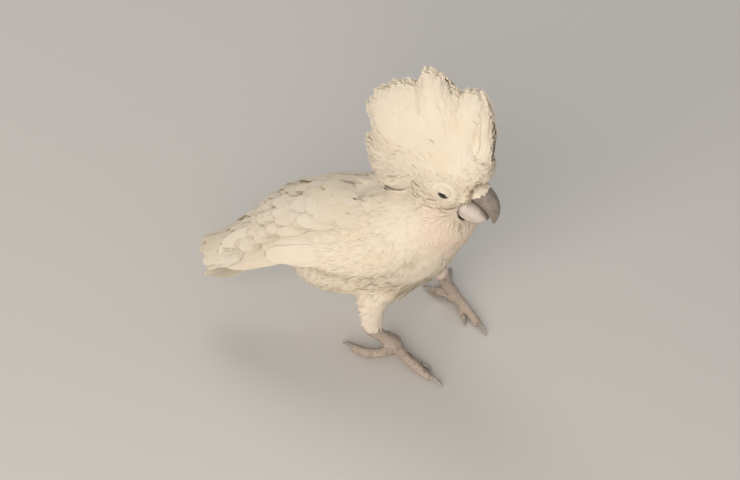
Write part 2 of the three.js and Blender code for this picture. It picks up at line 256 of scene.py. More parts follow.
def addRelief(tree, shader, height, strength, distance):
    bump = addNode(tree, "ShaderNodeBump", {"Height": height, "Strength": strength, "Distance": distance})
    feed(tree, shader, {"Normal": bump.outputs["Normal"]})


plumageLook = {
    "white": tint(232, 219, 200),
    "cream": tint(224, 206, 178),
    # painted shade colour for the covered roots of the feathers
    "shade": tint(202, 186, 164),
    "pink": tint(226, 190, 174),
    "stainScale": 26, "stainDetail": 3, "stainFrom": 0.42, "stainTo": 0.72, "stainMost": 0.55,
    "ownShare": 0.28,  # how far a feather's own tone goes towards cream
    # how far from the root the painted shade reaches, and how strong it is at the root
    "rootLength": 0.55, "rootShade": 0.25,
    "roughness": 0.82, "gloss": 0.08, "sheen": 0.08,
    "barbSlant": -0.9, "barbWander": 0.6, "barbDepth": 0.0004,
}


# Plumage colour from place and from the feather's own tone, with painted shade towards each feather's root where
# the feathers above cover it: every coat piece shares it.
def buildPlumageTone():
    tree = bpy.data.node_groups.new("plumageTone", "ShaderNodeTree")
    for label, start in (("Along", 1.0), ("Own", 0.5)):
        socket = tree.interface.new_socket(label, in_out="INPUT", socket_type="NodeSocketFloat")
        socket.default_value = start
    tree.interface.new_socket("Colour", in_out="OUTPUT", socket_type="NodeSocketColor")
    given = addNode(tree, "NodeGroupInput").outputs
    look = plumageLook
    cloud = clouds(tree, look["stainScale"], look["stainDetail"])
    stain = remap(tree, cloud, look["stainFrom"], look["stainTo"], 0.0, look["stainMost"])
    warm = mixColours(tree, stain, look["white"], look["cream"])
    ownShare = calculate(tree, "MULTIPLY", given["Own"], look["ownShare"])
    varied = mixColours(tree, ownShare, warm, look["cream"])
    # Painted shade: darker towards each feather's root, by the tone's share of the length.
    paintedRootShade = remap(tree, given["Along"], 0.0, look["rootLength"], look["rootShade"], 0.0)
    addNode(tree, "NodeGroupOutput", {"Colour": mixColours(tree, paintedRootShade, varied, look["shade"])})
    return tree


plumageTone = buildPlumageTone()


# Feather material: colour from the shared tone, with its painted root shade, and barbs from the vane's own map.
def featherMaterial(name, barbs, bump):
    material, tree, shader = newMaterial(name)
    look = plumageLook
    parts = addNode(tree, "ShaderNodeSeparateColor", {"Color": attributeAt(tree, "tone", "Color")}).outputs
    tone = addNode(tree, "ShaderNodeGroup", {}, node_tree=plumageTone)
    feed(tree, tone, {"Along": parts["Red"], "Own": parts["Green"]})
    flushed = mixColours(tree, parts["Blue"], tone.outputs["Colour"], look["pink"])
    onVane = addNode(tree, "ShaderNodeUVMap", uv_map="vane").outputs["UV"]
    vane = addNode(tree, "ShaderNodeSeparateXYZ", {"Vector": onVane}).outputs
    fromShaft = calculate(tree, "ABSOLUTE", calculate(tree, "SUBTRACT", vane["X"], 0.5))
    slant = calculate(tree, "MULTIPLY_ADD", fromShaft, look["barbSlant"], vane["Y"])
    slanted = addNode(tree, "ShaderNodeCombineXYZ", {"X": slant}).outputs["Vector"]
    sockets = {"Scale": barbs, "Distortion": look["barbWander"], "Vector": slanted}
    wave = addNode(tree, "ShaderNodeTexWave", sockets, bands_direction="X")
    addRelief(tree, shader, wave.outputs["Fac"], bump, look["barbDepth"])
    feed(tree, shader, {"Base Color": flushed, "Roughness": look["roughness"],
                        "Specular IOR Level": look["gloss"], "Sheen Weight": look["sheen"]})
    return material


contourMaterial = featherMaterial("contourFeathers", 9, 0.25)
flightMaterial = featherMaterial("flightFeathers", 34, 0.35)
downMaterial = featherMaterial("downTufts", 4, 0.1)


skinLook = {
    "leg": tint(192, 174, 158),
    "legDark": tint(112, 95, 84),
    "crease": tint(138, 118, 103),
    "body": tint(222, 204, 186),
    # painted shadow colour for the skin along the gape
    "gapeShadow": tint(96, 82, 62),
    "cere": tint(160, 148, 134),
    "scale": 560, "scaleGap": 0.16, "creaseMost": 0.75, "scaleRelief": 0.0012,
    "patchScale": 130, "patchFrom": 0.52, "patchTo": 0.7, "patchMost": 0.8,
}


# Scaled leg skin, bare skin by the bill with a painted shadow along the gape, and the pale skin that shows
# between feathers.
def skinMaterial():
    material, tree, shader = newMaterial("cockatooSkin")
    look = skinLook
    leg = attributeAt(tree, "leg")
    sockets = {"Scale": look["scale"], "Vector": objectPlace(tree)}
    cells = addNode(tree, "ShaderNodeTexVoronoi", sockets, feature="DISTANCE_TO_EDGE").outputs["Distance"]
    crease = remap(tree, cells, 0.0, look["scaleGap"], look["creaseMost"], 0.0)
    patch = remap(tree, clouds(tree, look["patchScale"], 4), look["patchFrom"], look["patchTo"], 0.0,
                  look["patchMost"])
    mottled = mixColours(tree, patch, look["leg"], look["legDark"])
    creased = mixColours(tree, crease, mottled, look["crease"])
    whole = mixColours(tree, leg, look["body"], creased)
    # the cere's own horn grey, and the painted shadow along the gape
    for part in ("cere", "gapeShadow"):
        whole = mixColours(tree, attributeAt(tree, part), whole, look[part])
    addRelief(tree, shader, calculate(tree, "MULTIPLY", cells, leg), 0.7, look["scaleRelief"])
    feed(tree, shader, {"Base Color": whole, "Roughness": 0.62})
    return material


# Horn with a powdery bloom, and its dark colour painted as shade where an attribute marks the gap between the
# bill's halves.
def hornMaterial(name, pale, dark, darkShare, roughness):
    material, tree, shader = newMaterial(name)
    cloud = clouds(tree, 190, 5)
    powder = mixColours(tree, remap(tree, cloud, 0.35, 0.7, darkShare, 0.0), pale, dark)
    # painted shade in the gap between the bill's halves
    edged = mixColours(tree, attributeAt(tree, "billGapShade"), powder, dark)
    addRelief(tree, shader, cloud, 0.3, 0.0005)
    feed(tree, shader, {"Base Color": edged, "Roughness": roughness})
    return material


# Smooth wet or dry skin with a faint mottle.
def plainMaterial(name, colour, roughness, coat=0.0):
    material, tree, shader = newMaterial(name)
    darker = tuple(c * 0.7 for c in colour[:3]) + (1,)
    mottled = mixColours(tree, clouds(tree, 420), colour, darker)
    feed(tree, shader, {"Base Color": mottled, "Roughness": roughness, "Coat Weight": coat})
    return material


legMaterial = skinMaterial()
billMaterial = hornMaterial("billHorn", tint(146, 133, 121), tint(66, 58, 50), 0.4, 0.5)
lowerMaterial = hornMaterial("lowerBillHorn", tint(206, 192, 179), tint(84, 75, 64), 0.22, 0.5)
clawMaterial = hornMaterial("clawHorn", tint(178, 166, 152), tint(96, 88, 82), 0.6, 0.4)
eyeMaterial = plainMaterial("eyeDark", tint(22, 15, 12), 0.12, 0.5)
lidMaterial = plainMaterial("eyelidSkin", tint(232, 218, 200), 0.7)
print("materials made")


# One skin for all the flesh, drawn in from the solids by the depth of the coat there.
skinSettings = {
    "voxel": 0.0013,
    "swell": 0.0004,
    "wingEnd": -0.056,
    "block": 0.4,
    "labelReach": 0.012,
    "depthRounds": 30, "rounds": 22, "normalRounds": 24,
    "wingEdge": [(-90, 12), (-75, 12), (-55, 13), (-44, 3), (-36, -40)],
    "fillRounds": 70, "fillDepth": 0.0046,
    "billFade": (0.012, 0.032), "eyeFade": (0.006, 0.016),  # where the coat thins out
    "billFree": (0.012, 0.020), "eyeFree": (0.0055, 0.0095),  # where creases begin to be filled
    "depth": {"trunk": 0.0052, "neck": 0.0055, "head": 0.0034, "wing": 0.0046, "thigh": 0.0022,
              "tarsus": 0.0, "foot": 0.0},
}
fleshNodes = ["head", "neck", "trunk", "wing_left", "wing_right", "thigh_left", "thigh_right",
              "tarsus_left", "tarsus_right", "foot_left", "foot_right"]


# The folded quills behind the body are feathers: the skin's copy of each wing ends at their roots.
def trimQuills(copy, name):
    if not name.startswith("wing"):
        return
    side = skinSettings["block"]
    middle = trunkMiddle + bodyForward * (skinSettings["wingEnd"] - side / 2)
    bpy.ops.object.select_all(action="DESELECT")
    bpy.ops.mesh.primitive_cube_add(size=side, location=middle, rotation=(-pose["chestUp"], 0, 0))
    block = bpy.context.object
    trimmer = copy.modifiers.new("trim", "BOOLEAN")
    trimmer.operation = "DIFFERENCE"
    trimmer.object = block
    applyModifiers(copy)
    bpy.data.objects.remove(block)


def makeSkin():
    piece = joinedCopy(fleshNodes, "cockatooSkin", trimQuills)
    swell = piece.modifiers.new("swell", "DISPLACE")
    swell.strength = skinSettings["swell"]
    swell.mid_level = 0
    remeshPiece(piece, skinSettings["voxel"], 3)
    return piece


skin = makeSkin()
points, normals = readMesh(skin.data)
print("skin", len(points), "points")


def surfaceOf(name):
    mesh = nodes[name].data
    faces = [tuple(p.vertices) for p in mesh.polygons]
    return bvhtree.BVHTree.FromPolygons([v.co for v in mesh.vertices], faces)


# Which solid each point of the skin belongs to.
def labelPoints(points):
    kinds = sorted({name.split("_")[0] for name in fleshNodes})
    best = np.full(len(points), 1e9)
    label = np.zeros(len(points), int)
    reach = skinSettings["labelReach"]
    for name in sorted(fleshNodes, key=lambda n: (n.split("_")[0], fleshNodes.index(n))):
        tree = surfaceOf(name)
        low, high = (np.array(c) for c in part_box(name))
        for i in np.all((points > low - reach) & (points < high + reach), axis=1).nonzero()[0]:
            distance = tree.find_nearest(points[i])[3]
            if distance < best[i]:
                best[i] = distance
                label[i] = kinds.index(name.split("_")[0])
    return kinds, label


kinds, label = labelPoints(points)
print("skin labelled")


def edgeList(mesh):
    ends = np.empty(len(mesh.edges) * 2, np.int32)
    mesh.edges.foreach_get("vertices", ends)
    return ends.reshape(-1, 2)


def spread(values, ends, rounds):
    values = values.astype(float)
    counts = np.bincount(ends.ravel(), minlength=len(values)).astype(float)
    shape = (-1,) + (1,) * (values.ndim - 1)
    for _ in range(rounds):
        total = np.zeros_like(values)
        np.add.at(total, ends[:, 0], values[ends[:, 1]])
        np.add.at(total, ends[:, 1], values[ends[:, 0]])
        values = 0.5 * values + 0.5 * total / counts.reshape(shape)
    return values


# The lower edge of each wing rises toward its tip, clear of the belly.
def liftWingEdge(places):
    spot = places - trunkCore
    lowest = heightAt(spot @ bodyForward, skinSettings["wingEdge"])
    lift = np.where(label == kinds.index("wing"), np.maximum(lowest - spot @ bodyUp, 0), 0)
    return places + bodyUp * lift[:, None]


# Fills the creases between the solids, so that the coat flows over them.
def fillCreases(places, free):
    counts = np.bincount(ends.ravel(), minlength=len(places)).astype(float)
    grown = np.zeros(len(places))
    one, two = ends.T
    for _ in range(skinSettings["fillRounds"]):
        total = np.stack([np.bincount(one, places[two, k], len(places))
                          + np.bincount(two, places[one, k], len(places)) for k in range(3)], axis=1)
        hollow = ((total / counts[:, None] - places) * normals).sum(axis=1) * free
        step = np.clip(hollow, 0, skinSettings["fillDepth"] - grown)
        grown += step
        places = places + normals * step[:, None]
    return places


ends = edgeList(skin.data)
depth = np.array([skinSettings["depth"][kind] for kind in kinds])[label]
nearBill = gapTo(points, billBase)
depth *= 0.35 + 0.65 * smoothStep(*skinSettings["billFade"], nearBill)
for eyeSpot in (eyeRight, eyeLeft):
    depth *= 0.3 + 0.7 * smoothStep(*skinSettings["eyeFade"], gapTo(points, eyeSpot))
depth = spread(depth, ends, skinSettings["depthRounds"])
legShare = spread(np.isin(label, [kinds.index("tarsus"), kinds.index("foot")]).astype(float), ends, 6)
inset = spread(liftWingEdge(points - normals * depth[:, None]), ends, skinSettings["rounds"])
eyeFree = smoothStep(*skinSettings["eyeFree"], gapTo(points, eyeRight, eyeLeft))
free = (1 - legShare) * smoothStep(*skinSettings["billFree"], nearBill) * eyeFree
inset = spread(fillCreases(inset, free), ends, 4)
bare = smoothStep(0.0, 0.5, spread(legShare, ends, 12))[:, None]
inset = inset * (1 - bare) + points * bare
inset[:, 2] = np.maximum(inset[:, 2], 0)
writePoints(skin.data, inset)
skin.data.shade_smooth()
addLayer(skin.data, "leg", smoothStep(0.0, 0.8, spread(legShare, ends, 14)))
skin.data.materials.append(legMaterial)
editAll(skin, bpy.ops.uv.smart_project, angle_limit=math.radians(66), island_margin=0.002)
skin.data.uv_layers[0].name = "skinMap"
points, normals = readMesh(skin.data)
normals = unit(spread(normals, ends, skinSettings["normalRounds"]))


# Bare skin by the bill: painted shadow round the gape, horn grey beside the upper bill.
upperSurface, lowerSurface = surfaceOf("bill_upper"), surfaceOf("bill_lower")


def gapsToBill(places):
    upper, lower = np.ones((2, len(places)))
    for i in np.nonzero(gapTo(places, billBase) < cereSettings["reach"])[0]:
        upper[i] = upperSurface.find_nearest(places[i])[3]
        lower[i] = lowerSurface.find_nearest(places[i])[3]
    return upper, lower


cereSettings = {"reach": 0.03, "below": 0.0085, "near": 0.0024, "gapeNear": 0.0012}
toUpper, toLower = gapsToBill(points)
# Painted shadow on the skin right next to the lower bill, along the gape.
gapeShadow = 1 - smoothStep(cereSettings["gapeNear"], cereSettings["gapeNear"] + 0.0016, toLower)
low = smoothStep(cereSettings["below"] + 0.001, cereSettings["below"] - 0.001, (points - billBase) @ headUp)
cere = low * (1 - smoothStep(cereSettings["near"], cereSettings["near"] + 0.0008, toUpper))
addLayer(skin.data, "gapeShadow", gapeShadow)
addLayer(skin.data, "cere", cere)
print("skin finished")

# The skin's faces, map and nearest points, on which the feathers are rooted.
skinMesh = skin.data
quads = np.array([tuple(p.vertices) for p in skinMesh.polygons if len(p.vertices) == 4])
quadLoops = np.array([p.loop_start for p in skinMesh.polygons if len(p.vertices) == 4])
loopUv = np.empty(len(skinMesh.loops) * 2, np.float32)
skinMesh.uv_layers["skinMap"].data.foreach_get("uv", loopUv)
loopUv = loopUv.reshape(-1, 2)
quadArea = 0.5 * np.linalg.norm(np.cross(points[quads[:, 2]] - points[quads[:, 0]],
                                         points[quads[:, 3]] - points[quads[:, 1]]), axis=1)
skinTree = treeOf(points)
kindOf = label[quads[:, 0]]
vertexUv = np.zeros((len(points), 2))
vertexUv[quads[:, 0]] = loopUv[quadLoops]


def skinSpot(places):
    return np.array([vertexUv[skinTree.find(place)[1]] for place in places])


# Roots spread evenly over the chosen faces: one in each small cube of space.
def pickRoots(mask, spacing):
    chosen = np.nonzero(mask)[0]
    share = quadArea[chosen] / quadArea[chosen].sum()
    count = int(quadArea[chosen].sum() / spacing ** 2 * 5)
    faces = rng.choice(chosen, count, p=share)
    u, v = rng.random(count), rng.random(count)
    weights = np.stack([(1 - u) * (1 - v), u * (1 - v), u * v, (1 - u) * v], axis=1)[..., None]
    corners = quads[faces]
    roots = (points[corners] * weights).sum(axis=1)
    rootNormals = unit((normals[corners] * weights).sum(axis=1))
    cells = np.floor(roots / spacing / 1.12).astype(int)
    _, first = np.unique(cells, axis=0, return_index=True)
    uv = (loopUv[quadLoops[faces][:, None] + np.arange(4)] * weights).sum(axis=1)
    return roots[first], rootNormals[first], uv[first]


# Where the coat's ways change from one part to the next, and how much they wander.
lieSettings = {"breast": (0.02, 0.07), "downward": 0.7, "head": (0.026, 0.05), "neck": (0.02, 0.055),
               "wander": 0.16}


# The way the coat lies: back from the bill over the head, down the neck, along the body to the tail.
def lieOfCoat(roots, rootNormals):
    fromBill = unit(roots - billBase)
    neckWay = unit(trunkMiddle + bodyForward * 0.02 - headMiddle)
    fromTrunk, s = roots - trunkMiddle, lieSettings
    breast = smoothStep(*s["breast"], fromTrunk @ bodyForward)[:, None] * s["downward"]
    onHead = 1 - smoothStep(*s["head"], gapTo(roots, headMiddle))[:, None]
    onNeck = smoothStep(*s["neck"], fromTrunk @ neckWay * -1)[:, None]
    way = -bodyForward * (1 - breast) + np.array([0, 0.25, -1.0]) * breast
    way = way * (1 - onNeck) + neckWay * onNeck
    way = unit(way) * (1 - onHead) + fromBill * onHead
    wobble = np.sin(roots @ np.array([[70, 31, 0], [0, 83, 40], [44, 0, 90]])) * s["wander"]
    return alongSurface(way + wobble, rootNormals)


softness = 0.86  # share of the skin's own normal in a feather's shading

# Feather shapes: each ring is (share of length, share of width, height of the ridge), then the tip.
tuftShapes = {
    "contour": {"rings": [(0, 0.35, 0.5), (0.34, 0.85, 1), (0.68, 1, 0.8), (0.9, 0.62, 0.4)], "cup": 0.16,
                "material": contourMaterial},
    "petal": {"rings": [(0, 0.4, 0.5), (0.4, 0.92, 1), (0.8, 1, 0.7), (0.95, 0.62, 0.4)], "cup": 0.10,
              "material": contourMaterial},
    "wisp": {"rings": [(0, 0.8, 0.6), (0.55, 1, 0.7)], "cup": 0.0, "material": downMaterial},
}


# Empty corners, shading ways, tones and vane map for a piece of many alike feathers.
def blankFeathers(count, each):
    verts, facing, tone = (np.zeros((count, each, size)) for size in (3, 3, 4))
    return verts, facing, tone, np.zeros((each, 2))


# Grows one closed vane at each root, all in one mesh. A vane has a left edge, a ridge and a right edge.
def growTufts(name, shape, roots, bends, tips, startUp, endUp, widths, thick, rootUv, own, pink=0.0):
    rings, cup = tuftShapes[shape]["rings"], tuftShapes[shape]["cup"]
    count, ringCount = len(roots), len(rings)
    perTuft = ringCount * 3 + 1
    verts, facing, tone, vane = blankFeathers(count, perTuft)
    for r, (along, wide, ridge) in enumerate(rings):
        centre = onLine(roots, bends, tips, along)
        heading = lineWay(roots, bends, tips, along)
        smooth = unit(startUp * (1 - along) + endUp * along)
        side = unit(np.cross(smooth, heading))
        up = np.cross(heading, side)
        soft = smooth * softness + up * (1 - softness)
        for k, turn in enumerate((-1, 0, 1)):
            facing[:, r * 3 + k] = soft + side * turn * 0.18
        ragged = 1 + rng.normal(0, 0.12, (count, 2))
        half = widths[:, None] * 0.5 * wide
        verts[:, r * 3] = centre - side * half * ragged[:, :1] - up * half * cup * 2
        verts[:, r * 3 + 1] = centre + up * thick * ridge
        verts[:, r * 3 + 2] = centre + side * half * ragged[:, 1:] - up * half * cup * 2
        # share of the length, from which the plumage tone paints shade towards the root
        tone[:, r * 3:r * 3 + 3, 0] = along
        vane[r * 3:r * 3 + 3] = [[0, along], [0.5, along], [1, along]]
    verts[:, -1] = tips
    facing[:, -1] = endUp
    tone[:, -1, 0] = 1
    tone[..., 1], tone[..., 2], tone[..., 3] = own[:, None], np.reshape(pink, (-1, 1)), 1
    vane[-1] = [0.5, 1]
    faces = []
    for r in range(ringCount - 1):
        a, b = r * 3, r * 3 + 3
        faces += [(b, b + 1, a + 1, a), (b + 1, b + 2, a + 2, a + 1), (b + 2, b, a, a + 2)]
    last, tip = (ringCount - 1) * 3, perTuft - 1
    faces += [(tip, last + 1, last), (tip, last + 2, last + 1), (tip, last, last + 2)]
    faces += [(0, 1, 2)]
    under = [f for f in range(len(faces)) if f % 3 == 2] + [len(faces) - 1]
    return meshFromTufts(name, verts, facing, faces, under, tone, vane, rootUv, tuftShapes[shape]["material"])


# How far the undersides of the crest's feathers are shaded towards their tips.
underLift = {"crestFeathers": 1.2, "crestFringe": 1.2, "crestCoat": 1.2, "crestEdge": 1.2, "crownCoat": 0.8}


# One mesh from many alike closed pieces. Faces listed in under are shaded the other way.
def meshFromTufts(name, verts, facing, faces, under, tone, vane, rootUv, material):
    count, perTuft = verts.shape[:2]
    sizes = np.array([len(f) for f in faces])
    corners = np.concatenate([np.array(f) for f in faces])
    mesh = bpy.data.meshes.new(name)
    mesh.vertices.add(count * perTuft)
    mesh.vertices.foreach_set("co", verts.astype(np.float32).ravel())
    loops = (corners[None, :] + np.arange(count)[:, None] * perTuft).ravel()
    mesh.loops.add(len(loops))
    mesh.loops.foreach_set("vertex_index", loops.astype(np.int32))
    allSizes = np.tile(sizes, count)
    mesh.polygons.add(len(allSizes))
    starts = np.concatenate([[0], np.cumsum(allSizes)[:-1]])
    mesh.polygons.foreach_set("loop_start", starts.astype(np.int32))
    mesh.update(calc_edges=True)
    colours = mesh.attributes.new("tone", "FLOAT_COLOR", "POINT")
    colours.data.foreach_set("color", tone.astype(np.float32).ravel())
    vaneLayer = mesh.uv_layers.new(name="vane")
    vaneLayer.data.foreach_set("uv", np.tile(vane[corners], (count, 1)).astype(np.float32).ravel())
    patch = mesh.uv_layers.new(name="OFBake")
    spot = (rootUv[:, None, :] + (vane[corners][None] - 0.5) * 0.003).reshape(-1, 2)
    patch.data.foreach_set("uv", np.clip(spot, 0, 1).astype(np.float32).ravel())
    mesh.materials.append(material)
    mesh.shade_smooth()
    turn = np.concatenate([np.full(len(f), -1.0 if k in under else 1.0) for k, f in enumerate(faces)])
    rise = unit(verts[:, -1] - verts[:, 1])[:, None] * underLift.get(name, 0.0) * (turn < 0)[:, None]
    shading = unit(facing[:, corners] * turn[:, None] + rise).reshape(-1, 3)
    mesh.normals_split_custom_set(shading.astype(np.float32))
    print(name, count, "tufts", len(mesh.polygons), "faces")
    return addObject(name, mesh)


# Loose feathers of about one width, each facing one way along its length.
def growLoose(name, shape, roots, bends, tips, facing, width, spots, thick=0.0002):
    widths = width * rng.uniform(0.8, 1.2, len(roots))
    own = rng.random(len(roots))
    return growTufts(name, shape, roots, bends, tips, facing, facing, widths, thick, spots, own)


eyeRing = 0.0050  # no feather comes closer to the middle of an eye
gapeRing = 0.0016  # nor to the lower bill
farAim = 0.0065  # a tuft that would reach further from the skin than this is left out
rootDepth = 0.0008


# A coat over part of the skin. Scaled gives a size for each root.
def growCoat(name, kind, setting, scaled=None, pink=0.0):
    s = coatSettings[setting]
    mask = isKind(kind) & feathered & ~wingEnd
    if kind == "thigh":
        wave = np.sin(faceMiddle[:, :2] @ np.array(thighEnd["waves"], float))
        mask &= faceMiddle[:, 2] > thighEnd["height"] + thighEnd["ragged"] * wave
    roots, up, uv = pickRoots(mask, s["spacing"])
    count = len(roots)
    scale, powers = scaled(roots) if scaled else np.ones(count), s.get("powers", (1, 1))
    way = lieOfCoat(roots, up)
    way = unit(way + np.cross(up, way) * rng.normal(0, s.get("stray", 0.15), (count, 1)))
    lengths = s["length"] * scale * rng.uniform(0.8, 1.2, count)
    widths = s["width"] * scale ** powers[0] * rng.uniform(0.85, 1.15, count)
    stands = s["stand"] * scale ** powers[1] * rng.uniform(0.75, 1.2, count)
    aim = roots + way * lengths[:, None]
    found = [skinTree.find(p) for p in aim]
    near, off = np.array([f[1] for f in found]), np.array([f[2] for f in found])
    endUp = normals[near]
    gap = ((aim - points[near]) * endUp).sum(axis=1)
    tips = aim - endUp * gap[:, None] + endUp * stands[:, None]
    tips = roots + unit(tips - roots) * lengths[:, None]
    bends = (roots + tips) / 2 + unit(up + endUp) * stands[:, None] * 0.55
    clear = clearOfFace(roots) & clearOfFace(bends) & clearOfFace(tips) & (off < farAim)
    picked = [rows[clear] for rows in (roots - up * rootDepth, bends, tips, up, endUp, widths)]
    flush = pink(roots)[clear] if callable(pink) else pink
    own = rng.random(clear.sum())
    return growTufts(name, s.get("shape", "contour"), *picked, s["thick"], uv[clear], own, flush)


# Whether each place leaves the eyes, the gape and the cere bare.
def clearOfFace(places):
    upper, lower = gapsToBill(places)
    onCere = (upper < cereSettings["near"]) & ((places - billBase) @ headUp < cereSettings["below"])
    return (gapTo(places, eyeRight, eyeLeft) > eyeRing) & (lower > gapeRing) & ~onCere


def isKind(*names):
    return np.isin(kindOf, [kinds.index(n) for n in names])


faceMiddle = points[quads].mean(axis=1)
eyeGap = gapTo(faceMiddle, eyeRight, eyeLeft)
billGap = gapTo(faceMiddle, billBase)
feathered = legShare[quads[:, 0]] < 0.4
wingEnd = isKind("wing") & (normals[quads[:, 0]] @ bodyForward < -0.72)


# Feathers are smallest by the eyes and the bill, and longer towards the nape.
faceSettings = {"byEye": 0.005, "byBill": 0.012, "least": 0.28, "face": (0.0, 0.018), "nape": (0.026, 0.046)}


def faceShort(roots):
    s = faceSettings
    gap = gapTo(roots, eyeRight, eyeLeft) - s["byEye"]
    bill = gapTo(roots, billBase) - s["byBill"]
    onFace, byNape = smoothStep(*s["face"], np.minimum(gap, bill)), smoothStep(*s["nape"], bill)
    return s["least"] + 0.82 * onFace + 0.5 * byNape


# Longer, looser feathers low on the belly, on the flank and on the breast.
bellySettings = {"low": (-0.012, -0.042), "behind": (-0.03, 0.0), "front": (0.03, 0.07),
                 "breastUp": (-0.016, -0.034), "breastForward": (-0.004, 0.018), "byThigh": (0.018, 0.034)}


def bellyLong(roots):
    s, spot = bellySettings, roots - trunkCore
    forward, up = spot @ bodyForward, spot @ bodyUp
    low = smoothStep(*s["low"], up) * (0.5 + 0.5 * smoothStep(*s["behind"], forward))
    front = smoothStep(*s["front"], forward)
    breast = smoothStep(*s["breastUp"], up) * smoothStep(*s["breastForward"], forward)
    byThigh = smoothStep(*s["byThigh"], gapTo(roots, nodeCentre("thigh_right"), nodeCentre("thigh_left")))
    return (1 + 0.5 * np.maximum(low, front * 0.7) + 0.4 * breast) * (0.5 + 0.5 * byThigh)


# Each coat's spacing, length and width, how far its tips stand off, its vanes' thickness and their stray.
# Powers tell how far a feather's width and stand follow its length.
coatSettings = {
    "body": {"spacing": 0.0024, "length": 0.018, "width": 0.0078, "stand": 0.0046, "thick": 0.00025,
             "powers": (0.4, 0.6)},
    "neck": {"spacing": 0.0022, "length": 0.016, "width": 0.0066, "stand": 0.0044, "thick": 0.00025},
    "head": {"spacing": 0.0014, "length": 0.0105, "width": 0.0042, "stand": 0.0026, "thick": 0.0002},
    "wing": {"spacing": 0.0028, "length": 0.023, "width": 0.0090, "stand": 0.0028, "thick": 0.0002,
             "stray": 0.06},
    "thigh": {"spacing": 0.0017, "length": 0.0095, "width": 0.0032, "stand": 0.0018, "thick": 0.0002},
    "down": {"shape": "wisp", "spacing": 0.0015, "length": 0.0130, "width": 0.0011, "stand": 0.0054,
             "thick": 0.00015, "stray": 0.3},
    "wingDown": {"shape": "wisp", "spacing": 0.0017, "length": 0.0135, "width": 0.0011, "stand": 0.0038,
                 "thick": 0.00015, "stray": 0.2},
    "faceDown": {"shape": "wisp", "spacing": 0.0012, "length": 0.0075, "width": 0.0008, "stand": 0.0030,
                 "thick": 0.0001, "stray": 0.25},
}
# Where the thigh's feathers end, and from where up they are long.
thighEnd = {"height": 0.037, "ragged": 0.0035, "waves": (800, 650), "long": 0.053, "between": 0.035}


# The chin and throat are flushed with pink.
def throatPink(roots):
    return 0.6 * smoothStep(0.034, 0.012, gapTo(roots, billBase - headUp * 0.022))


# Thigh feathers are looser in front than behind.
def thighLoose(roots):
    onRight = roots[:, 0] < thighEnd["between"]
    middle = np.where(onRight, nodeCentre("thigh_right")[1], nodeCentre("thigh_left")[1])
    near = np.where(onRight, 1.0, 0.3)
    high = smoothStep(thighEnd["height"], thighEnd["long"], roots[:, 2])
    return (0.75 + near * smoothStep(0.003, -0.006, roots[:, 1] - middle)) * (0.45 + 0.55 * high)


coats = [
    growCoat("bodyCoat", "trunk", "body", bellyLong),
    growCoat("neckCoat", "neck", "neck", pink=throatPink),
    growCoat("headCoat", "head", "head", faceShort),
    growCoat("wingCoat", "wing", "wing"),
    growCoat("thighCoat", "thigh", "thigh", thighLoose, 0.12),
]
coats += [
    growCoat("bodyDown", "trunk", "down", bellyLong),
    growCoat("wingDown", "wing", "wingDown"),
    growCoat("neckDown", "neck", "down"),
    growCoat("faceDown", "head", "faceDown", faceShort),
]


# Forehead feathers that lie forward over the base of the upper bill.
ruffSettings = {"count": 700, "above": 0.0120, "slope": 0.45, "front": 0.0180, "near": 0.010,
                "spacing": 0.0010, "length": 0.0062, "width": 0.0022, "stand": 0.0016, "onSkin": 1.55,
                "sunk": 0.0006}


def makeRuff():
    s = ruffSettings
    bill = nodes["bill_upper"].data
    corners = np.array([v.co for v in bill.vertices])
    faces = np.array([tuple(t.vertices) for t in bill.polygons])
    middle, normal = corners[faces].mean(axis=1), np.array([p.normal for p in bill.polygons])
    area = np.array([p.area for p in bill.polygons])
    spot = middle - billBase
    bottom = spot @ headUp - (spot @ headForward) * s["slope"]
    chosen = (bottom > s["above"]) & (spot @ headForward < s["front"]) & (normal @ headForward > -0.5)
    chosen = np.nonzero(chosen)[0]
    picked = rng.choice(chosen, s["count"], p=area[chosen] / area[chosen].sum())
    a, b = rng.random((2, s["count"], 1))
    turned = a + b > 1
    a, b = np.where(turned, 1 - a, a), np.where(turned, 1 - b, b)
    one, two, three = (corners[faces[picked]][:, k] for k in range(3))
    roots = one + (two - one) * a + (three - one) * b
    up = normal[picked]
    toUpper = gapsToBill(faceMiddle)[0]
    brow = (toUpper < s["near"]) & ((faceMiddle - billBase) @ headUp > s["above"] + 0.001)
    skinRoots, skinUp, _ = pickRoots(isKind("head", "neck") & brow, s["spacing"])
    roots, up = np.concatenate([roots, skinRoots]), np.concatenate([up, skinUp])
    way = alongSurface(headForward * 1.0 - headUp * 0.3 + rng.normal(0, 0.12, roots.shape), up)
    fromSkin = (np.arange(len(roots)) >= s["count"])[:, None]
    lengths = (s["length"] * rng.uniform(0.6, 1.1, len(roots)))[:, None]
    lengths = lengths * np.where(fromSkin, s["onSkin"], 1.0)
    bends = roots + way * lengths * 0.5 + up * s["stand"] * (1 + 0.5 * fromSkin)
    tips = roots + way * lengths + up * s["stand"] * 0.4
    soft, starts = unit(up + headUp * 0.3), roots - up * s["sunk"]
    return growLoose("billRuff", "contour", starts, bends, tips, soft, s["width"], skinSpot(roots))


coats.append(makeRuff())
print("coats grown")


# Long feather: a closed broad blade with a raised shaft. Sections run across, rings along.
vaneSettings = {"rings": 14, "thick": 0.0004, "shaft": 0.0004, "notch": 0.03, "ripple": 0.02}


# A long feather's width at t, as a share of its full width: narrow at the root, round at the tip.
def bladeWidth(t, tipRound, least=0.0):
    tip = np.clip((t - (1 - tipRound)) / tipRound, 0, 1)
    return (0.16 + 0.84 * smoothStep(0.0, 0.42, t)) * np.sqrt(np.clip(1 - tip ** 2.6, least, 1))


